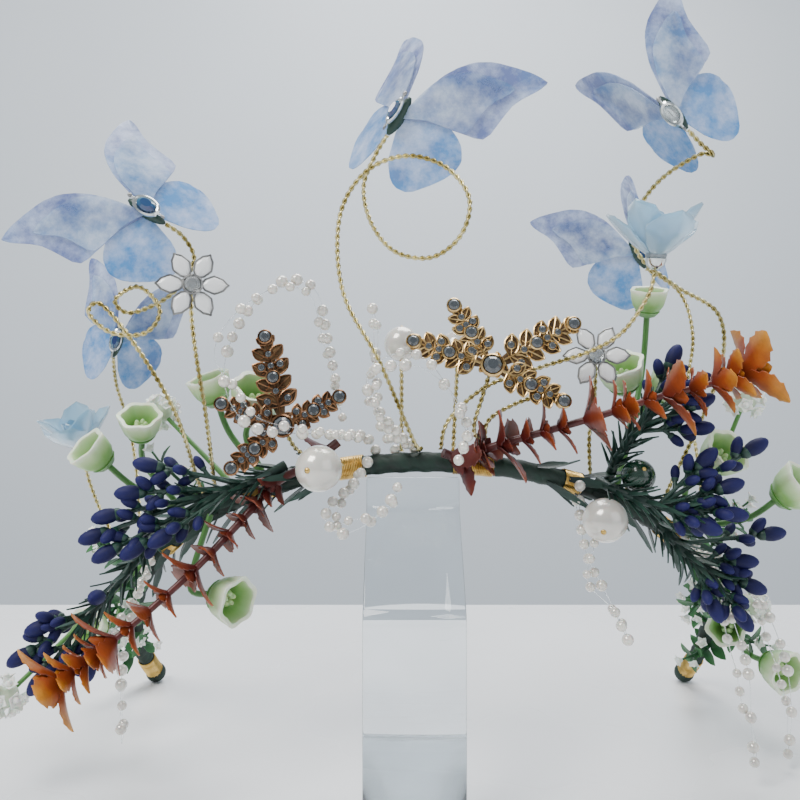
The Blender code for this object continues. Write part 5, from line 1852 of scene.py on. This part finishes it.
CUPS = [
    CupSpray("cup_spray_left_upper", (-43, 30), (((-0.19, -0.11, 0.15), (-0.5, -0.5, 0.6), 1.0),
        ((-0.11, -0.06, 0.22), (0.1, -0.6, 0.8), 1.0))),
    CupSpray("cup_spray_left_inner", (-27, 75), (((-0.03, -0.04, 0.16), (0.3, -0.5, 0.8), 1.25),
        ((-0.13, 0.0, 0.20), (-0.3, -0.3, 0.9), 1.0))),
    CupSpray("cup_spray_left_low", (-37, -60), (((0.03, -0.10, -0.20), (0.75, -0.5, -0.1), 1.1),)),
    CupSpray("cup_spray_left_back", (-72, 0), (((-0.02, -0.14, -0.06), (-0.2, -0.8, 0.3), 1.0),)),
    CupSpray("cup_spray_right_upper", (33, 80), (((0.02, -0.02, 0.28), (-0.3, -0.5, 0.8), 1.1),
        ((0.11, 0.0, 0.26), (0.4, -0.5, 0.6), 1.0), ((0.10, 0.04, 0.50), (0.0, -0.3, 0.9), 0.9))),
    CupSpray("cup_spray_right_outer", (48, 25), (((0.03, -0.12, 0.19), (0.3, -0.7, 0.5), 1.1),
        ((0.20, -0.17, 0.10), (0.5, -0.5, 0.5), 1.1))),
    CupSpray("cup_spray_right_back", (76, -20), (((-0.04, -0.14, 0.0), (-0.4, -0.8, 0.2), 1.0),
        ((0.06, -0.17, -0.10), (0.3, -0.8, -0.1), 1.1))),
]


def floret(mould: Mould, foot: Vector, outward: Vector, size: float) -> None:
    """Add one white bud of five small petals."""
    frame = turned_frame(outward, Vector((0.1, 1, 0.2)))
    mould.ball(foot + outward * size * 0.5, (size * 0.42,) * 2 + (size * 0.6,),
               outward, frame.col[0], 8, 6, 0.9)
    for petal in range(5):
        side = spoke(frame, petal * math.tau / 5)
        mould.leaf(foot, side * 0.7 + outward, outward, size * 1.25, size * 0.9,
                   0.35 * MM, FLORET_PETAL, (0.1, 1.0))


@dataclass(frozen=True)
class FillerHead(Tied):
    """A head of small white buds on a stalk."""

    offset: Offset
    stalk: float = 0.9 * MM
    radius: float = 4 * MM
    bud: float = 2.3 * MM
    buds: int = 15

    def build(self, kit: Kit) -> None:
        """Make the stalk and the head."""
        seat = HOOP.seat(self.seat, self.stalk, [self.offset])
        middle = seat + Vector(self.offset) * HOOP.radius
        axis = (middle - seat).normalized()
        frame = turned_frame(axis, Vector((1, 0.1, 0.1)))
        mould = Mould()
        mould.ball(middle, (self.radius * 0.8,) * 3, axis, frame.col[0], 12, 8, 0.1)
        mould.tube([seat, seat.lerp(middle, 0.5), middle - axis * self.radius * 0.6],
                   [self.stalk, self.stalk * 0.8, self.stalk * 0.7], 8, 0.5, 1)
        for bud in range(self.buds):
            height = 0.97 - 1.6 * bud / (self.buds - 1)
            wide = math.sqrt(1 - height ** 2)
            angle = bud * math.radians(GOLDEN_DEGREES)
            outward = frame @ Vector((wide * math.cos(angle), wide * math.sin(angle), height))
            floret(mould, middle + outward * self.radius * 0.85, outward, self.bud)
        mould.piece(self.name + "_head", kit.wear(Look.BUD, Look.SPRING),
                    [self.name], 60)


FILLERS = [
    FillerHead("white_filler_right", (53, 60), (0.08, -0.21, 0.42)),
    FillerHead("white_filler_left_low", (-58, -35), (-0.24, -0.36, -0.27)),
    FillerHead("white_filler_left_back", (-33, 85), (-0.24, 0.08, 0.22)),
    FillerHead("white_filler_right_low", (64, -10), (0.10, -0.02, -0.08)),
]


SMALL_LEAF = Blade(((0.0, 0.2), (0.3, 0.82), (0.55, 1.0), (0.8, 0.72), (1.0, 0.06)), 8, 5,
                   curl=-0.25, trough=0.12, ripple=0.02)
STRAP = Blade(NEEDLE.outline, 6, 3, curl=0.1, trough=0.15)


@dataclass(frozen=True)
class Greenery(Tied):
    """A thin stem tied to the hoop, with pairs of small leaves and white buds at its end."""

    route: Route
    pairs: int = 5
    buds: int = 3
    stem: float = 0.5 * MM
    leaf: float = 7.5 * MM
    leaf_width: float = 4.4 * MM
    bud: float = 2.2 * MM

    def build(self, kit: Kit) -> None:
        """Make the stem, the leaves and the buds."""
        route = HOOP.tied(self.seat, self.stem, self.route, 6)
        last = len(route) - 1
        mould = Mould()
        mould.tube(route, self.stem, 6, 0.3)
        for pair in range(self.pairs):
            share = mixed(0.12, 0.95, pair / (self.pairs - 1))
            spot = round(share * last)
            axis = direction(route, spot)
            frame = turned_frame(axis, Vector((0.2, 1, 0.3)))
            for hand in range(2):
                side = spoke(frame, pair * 1.3 + hand * math.pi)
                scale = mixed(1.0, 0.72, share)
                mould.leaf(route[spot], side + axis * 0.7, axis, self.leaf * scale,
                           self.leaf_width * scale, LEAF_WALL, SMALL_LEAF, (0.1, 0.9))
        for bud in range(self.buds):
            spot = last - bud * 3
            axis = direction(route, spot)
            frame = turned_frame(axis, Vector((0.2, 1, 0.3)))
            side = spoke(frame, bud * GOLDEN_TURN)
            run = (side * (0.3 + 0.3 * bud) + axis).normalized()
            foot = route[spot] + run * self.bud * 1.6
            mould.tube([route[spot], route[spot].lerp(foot, 0.5), foot], self.stem * 0.7, 5, 0.4)
            held = len(mould.faces)
            floret(mould, foot, run, self.bud)
            mould.finishes[held:] = [1] * (len(mould.faces) - held)
        mould.piece(self.name, kit.wear(Look.GREENERY, Look.BUD), [], 60)


TUFTS = {
    "left": [
        ((-60, -20), ((0.0, -0.06, -0.05), (0.04, -0.10, -0.12))),
        ((-74, 30), ((-0.02, -0.08, -0.02), (0.02, -0.15, -0.06))),
        ((-84, 20), ((0.03, -0.07, 0.0), (0.10, -0.12, -0.01))),
        ((-92, 0), ((-0.03, -0.08, 0.03), (-0.08, -0.14, 0.07))),
        ((-66, 60), ((-0.04, -0.02, 0.06), (-0.09, -0.07, 0.12))),
        ((-40, 70), ((-0.05, -0.03, 0.06), (-0.12, -0.04, 0.13))),
    ],
    "right": [
        ((58, -30), ((-0.03, -0.06, -0.04), (-0.08, -0.11, -0.10))),
        ((70, 30), ((-0.04, -0.07, 0.0), (-0.12, -0.12, 0.0))),
        ((80, 20), ((-0.04, -0.07, 0.03), (-0.11, -0.11, 0.05))),
        ((88, 10), ((-0.05, -0.07, 0.0), (-0.11, -0.10, -0.02))),
        ((78, -40), ((0.02, -0.08, -0.02), (0.07, -0.14, -0.03))),
        ((60, 60), ((0.04, -0.03, 0.07), (0.09, -0.07, 0.14))),
        ((50, 10), ((0.05, -0.06, 0.04), (0.11, -0.10, 0.09))),
    ],
}
GREENS = [Greenery(f"greenery_{side}_{number}", seat, route) for side, tufts in TUFTS.items()
          for number, (seat, route) in enumerate(tufts, 1)]


@dataclass(frozen=True)
class HoopLeaves:
    """Narrow dark leaves tied along the bundle, away from where it lies on the stand."""

    spans: Outline = ((-13, -58), (17, 62))
    leaves: int = 44
    length: float = 11 * MM
    width: float = 2.6 * MM
    sizes: tuple[float, ...] = (0.8, 1.0, 1.2)
    lift: float = 0.4

    def build(self, kit: Kit) -> None:
        """Make the leaves of both sides."""
        mould = Mould()
        for start, end in self.spans:
            for leaf in range(self.leaves):
                angle = mixed(start, end, leaf / self.leaves)
                lean = HOOP.lean(angle, leaf * GOLDEN_DEGREES)
                ahead = HOOP.point(mixed(angle, end, 0.1)) - HOOP.point(angle)
                foot = HOOP.point(angle) + lean * HOOP.tube * 0.9
                mould.leaf(foot, ahead.normalized() + lean * self.lift, lean,
                           self.length * self.sizes[leaf % 3], self.width, LEAF_WALL, STRAP,
                           (0.0, 0.8))
        mould.piece("hoop_leaves", kit.wear(Look.STEM), [], 60)


@dataclass(frozen=True)
class PearlString(Tied):
    """Small pearls threaded on clear line."""

    route: Route
    radius: float = 0.9 * MM
    bead: float = 1.65 * MM
    line: float = 0.13 * MM
    spacing: float = 3.7 * MM
    kept: float = 0.68
    stray: float = 3.2 * MM
    strands: tuple[tuple[float, float, float], ...] = ((0.0, 1.0, 1.0), (1.0, 0.86, 1.21))

    def build(self, kit: Kit) -> None:
        """Make the string: one strand on the route and a finer one that strays from it."""
        route = HOOP.tied(self.seat, self.radius, self.route)
        last = len(route) - 1
        for strand, (stray, size, pace) in enumerate(self.strands):
            line = []
            for index, point in enumerate(route):
                share = index / last
                frame = turned_frame(direction(route, index), Vector((0.1, 0.3, 1)))
                spread = math.sin(share * math.pi) * self.stray * stray
                turn = share * 9 + len(self.route)
                line.append(point + frame.col[0] * math.cos(turn) * spread
                            + frame.col[1] * math.sin(turn) * spread)
            mesh = kit.beads.run(line, {
                "Bead": self.bead * size, "Line": self.line, "Spacing": self.spacing * pace,
                "Kept": self.kept, "Finish": kit.looks[Look.PEARL],
                "Clear": kit.looks[Look.LINE]})
            dressed(mesh, f"{self.name}_pearls_{strand + 1}", [], [self.name], 60)


STRINGS = [
    PearlString("bead_string_left_loop", (-8, 60), ((-0.03, -0.03, 0.04), (-0.13, -0.14, 0.05),
        (-0.30, -0.20, 0.07), (-0.37, -0.20, 0.18), (-0.34, -0.19, 0.32), (-0.24, -0.18, 0.43),
        (-0.15, -0.15, 0.42), (-0.12, -0.09, 0.28), (-0.09, -0.01, 0.09))),
    PearlString("bead_string_rise", (-5, 75), ((-0.04, -0.02, 0.07), (-0.05, -0.04, 0.20),
        (-0.06, -0.07, 0.38))),
    PearlString("bead_string_right_loop", (-2, 75), ((-0.04, -0.07, 0.04), (-0.11, -0.14, 0.13),
        (-0.12, -0.18, 0.20), (-0.05, -0.19, 0.22), (0.02, -0.20, 0.21), (0.09, -0.20, 0.15),
        (0.13, -0.19, 0.06), (0.11, -0.15, -0.02))),
    PearlString("bead_string_low_loop", (-9, -30), ((-0.04, -0.05, -0.06), (-0.09, -0.09, -0.10),
        (-0.10, -0.12, -0.14), (-0.06, -0.13, -0.17), (0.0, -0.12, -0.15), (0.05, -0.10, -0.11),
        (0.08, -0.07, -0.06))),
    PearlString("bead_string_right_inner", (24, -50), ((0.0, -0.01, -0.10), (0.02, -0.02, -0.20),
        (0.07, -0.03, -0.30), (0.12, -0.04, -0.41))),
    PearlString("bead_string_right_front", (48, -30), ((0.03, -0.07, -0.06), (0.08, -0.13, -0.19),
        (0.11, -0.18, -0.34), (0.11, -0.20, -0.48), (0.11, -0.22, -0.57))),
    PearlString("bead_string_right_outer", (56, 0), ((0.04, -0.06, -0.02), (0.12, -0.12, -0.12),
        (0.17, -0.16, -0.27), (0.18, -0.18, -0.42), (0.16, -0.20, -0.53))),
    PearlString("bead_string_left_low", (-52, -30), ((-0.02, -0.10, -0.13), (-0.02, -0.20, -0.24),
        (-0.01, -0.26, -0.36), (0.0, -0.28, -0.47))),
]


# The room


@dataclass(frozen=True)
class Lamp:
    """A soft square light that looks at the tiara."""

    name: str
    place: tuple[float, float, float]
    width: float
    watts: float
    tint: Colour
    target: Offset = (0.0, 0.0, 0.1)

    def build(self) -> None:
        """Make the light."""
        data = bpy.data.lights.new(self.name, "AREA")
        data.size = self.width
        data.energy = self.watts
        data.color = self.tint
        lamp = placed(self.name, data)
        lamp.location = self.place
        aim = Vector(self.target) - Vector(self.place)
        lamp.rotation_euler = aim.to_track_quat("-Z", "Y").to_euler()


@dataclass(frozen=True)
class Studio:
    """A pale table in front of a pale wall, with soft light and a level camera."""

    table_back: float = 0.193
    table_front: float = -1.2
    half_width: float = 1.4
    wall_back: float = 0.75
    wall_low: float = -0.9
    wall_high: float = 1.3
    eye: tuple[float, float, float] = (-0.0035, -0.217, 0.105)
    focal: float = 36.0
    sensor: float = 36.0
    nearest: float = 0.005
    sky: tuple[float, float, float, float] = (0.80, 0.86, 0.92, 1.0)
    sky_strength: float = 0.6
    lamps: tuple[Lamp, ...] = (
        Lamp("key", (-0.55, -0.5, 0.95), 0.5, 13.0, (1.0, 0.98, 0.96)),
        Lamp("fill", (0.8, -0.7, 0.5), 0.9, 3.0, (0.94, 0.97, 1.0)),
        Lamp("top", (0.1, 0.35, 0.9), 0.6, 9.0, (1.0, 1.0, 1.0)),
    )

    def plane(self, name: str, corners: list[tuple[float, float, float]],
              material: Material) -> None:
        """Make one large face of the room."""
        mesh = bpy.data.meshes.new(name)
        mesh.from_pydata(corners, [], [(0, 1, 2, 3)])
        mesh.materials.append(material)
        item = placed(name, mesh)

    def build(self) -> None:
        """Make the room, the lights, the world and the camera."""
        table = PlainFinish((0.80, 0.81, 0.83), (0.85, 0.86, 0.87), 8, (0.22, 0.34),
                            bump_depth=0.01 * MM).build("table")
        wall = PlainFinish((0.66, 0.71, 0.76), (0.71, 0.76, 0.81), 1.5, (0.8, 0.9)).build("wall")
        side = self.half_width
        self.plane("table", [(-side, self.table_front, 0), (side, self.table_front, 0),
                             (side, self.table_back, 0), (-side, self.table_back, 0)], table)
        self.plane("wall", [(-2 * side, self.wall_back, self.wall_low),
                            (2 * side, self.wall_back, self.wall_low),
                            (2 * side, self.wall_back, self.wall_high),
                            (-2 * side, self.wall_back, self.wall_high)], wall)
        for lamp in self.lamps:
            lamp.build()
        world = bpy.data.worlds.new("soft grey")
        world.use_nodes = True
        shade = world.node_tree.nodes["Background"]
        shade.inputs["Color"].default_value = self.sky
        shade.inputs["Strength"].default_value = self.sky_strength
        bpy.context.scene.world = world
        data = bpy.data.cameras.new("camera")
        data.lens = self.focal
        data.sensor_width = self.sensor
        data.clip_start = self.nearest
        camera = placed("camera", data)
        camera.location = self.eye
        camera.rotation_euler = (math.pi / 2, 0, 0)
        bpy.context.scene.camera = camera


def main() -> None:
    """Build every piece, then the room."""
    kit = Kit()
    ClearStand().build(kit)
    TapedHoop().build(kit)
    for group in (SPRIGS, BERRIES, BUTTERFLIES, GLASS_FLOWERS, ENAMEL_FLOWERS, ORNAMENTS, BEADS,
                  CUPS, FILLERS, GREENS, [HoopLeaves()], STRINGS):
        for item in group:
            item.build(kit)
    Studio().build()


if __name__ == "__main__":
    main()
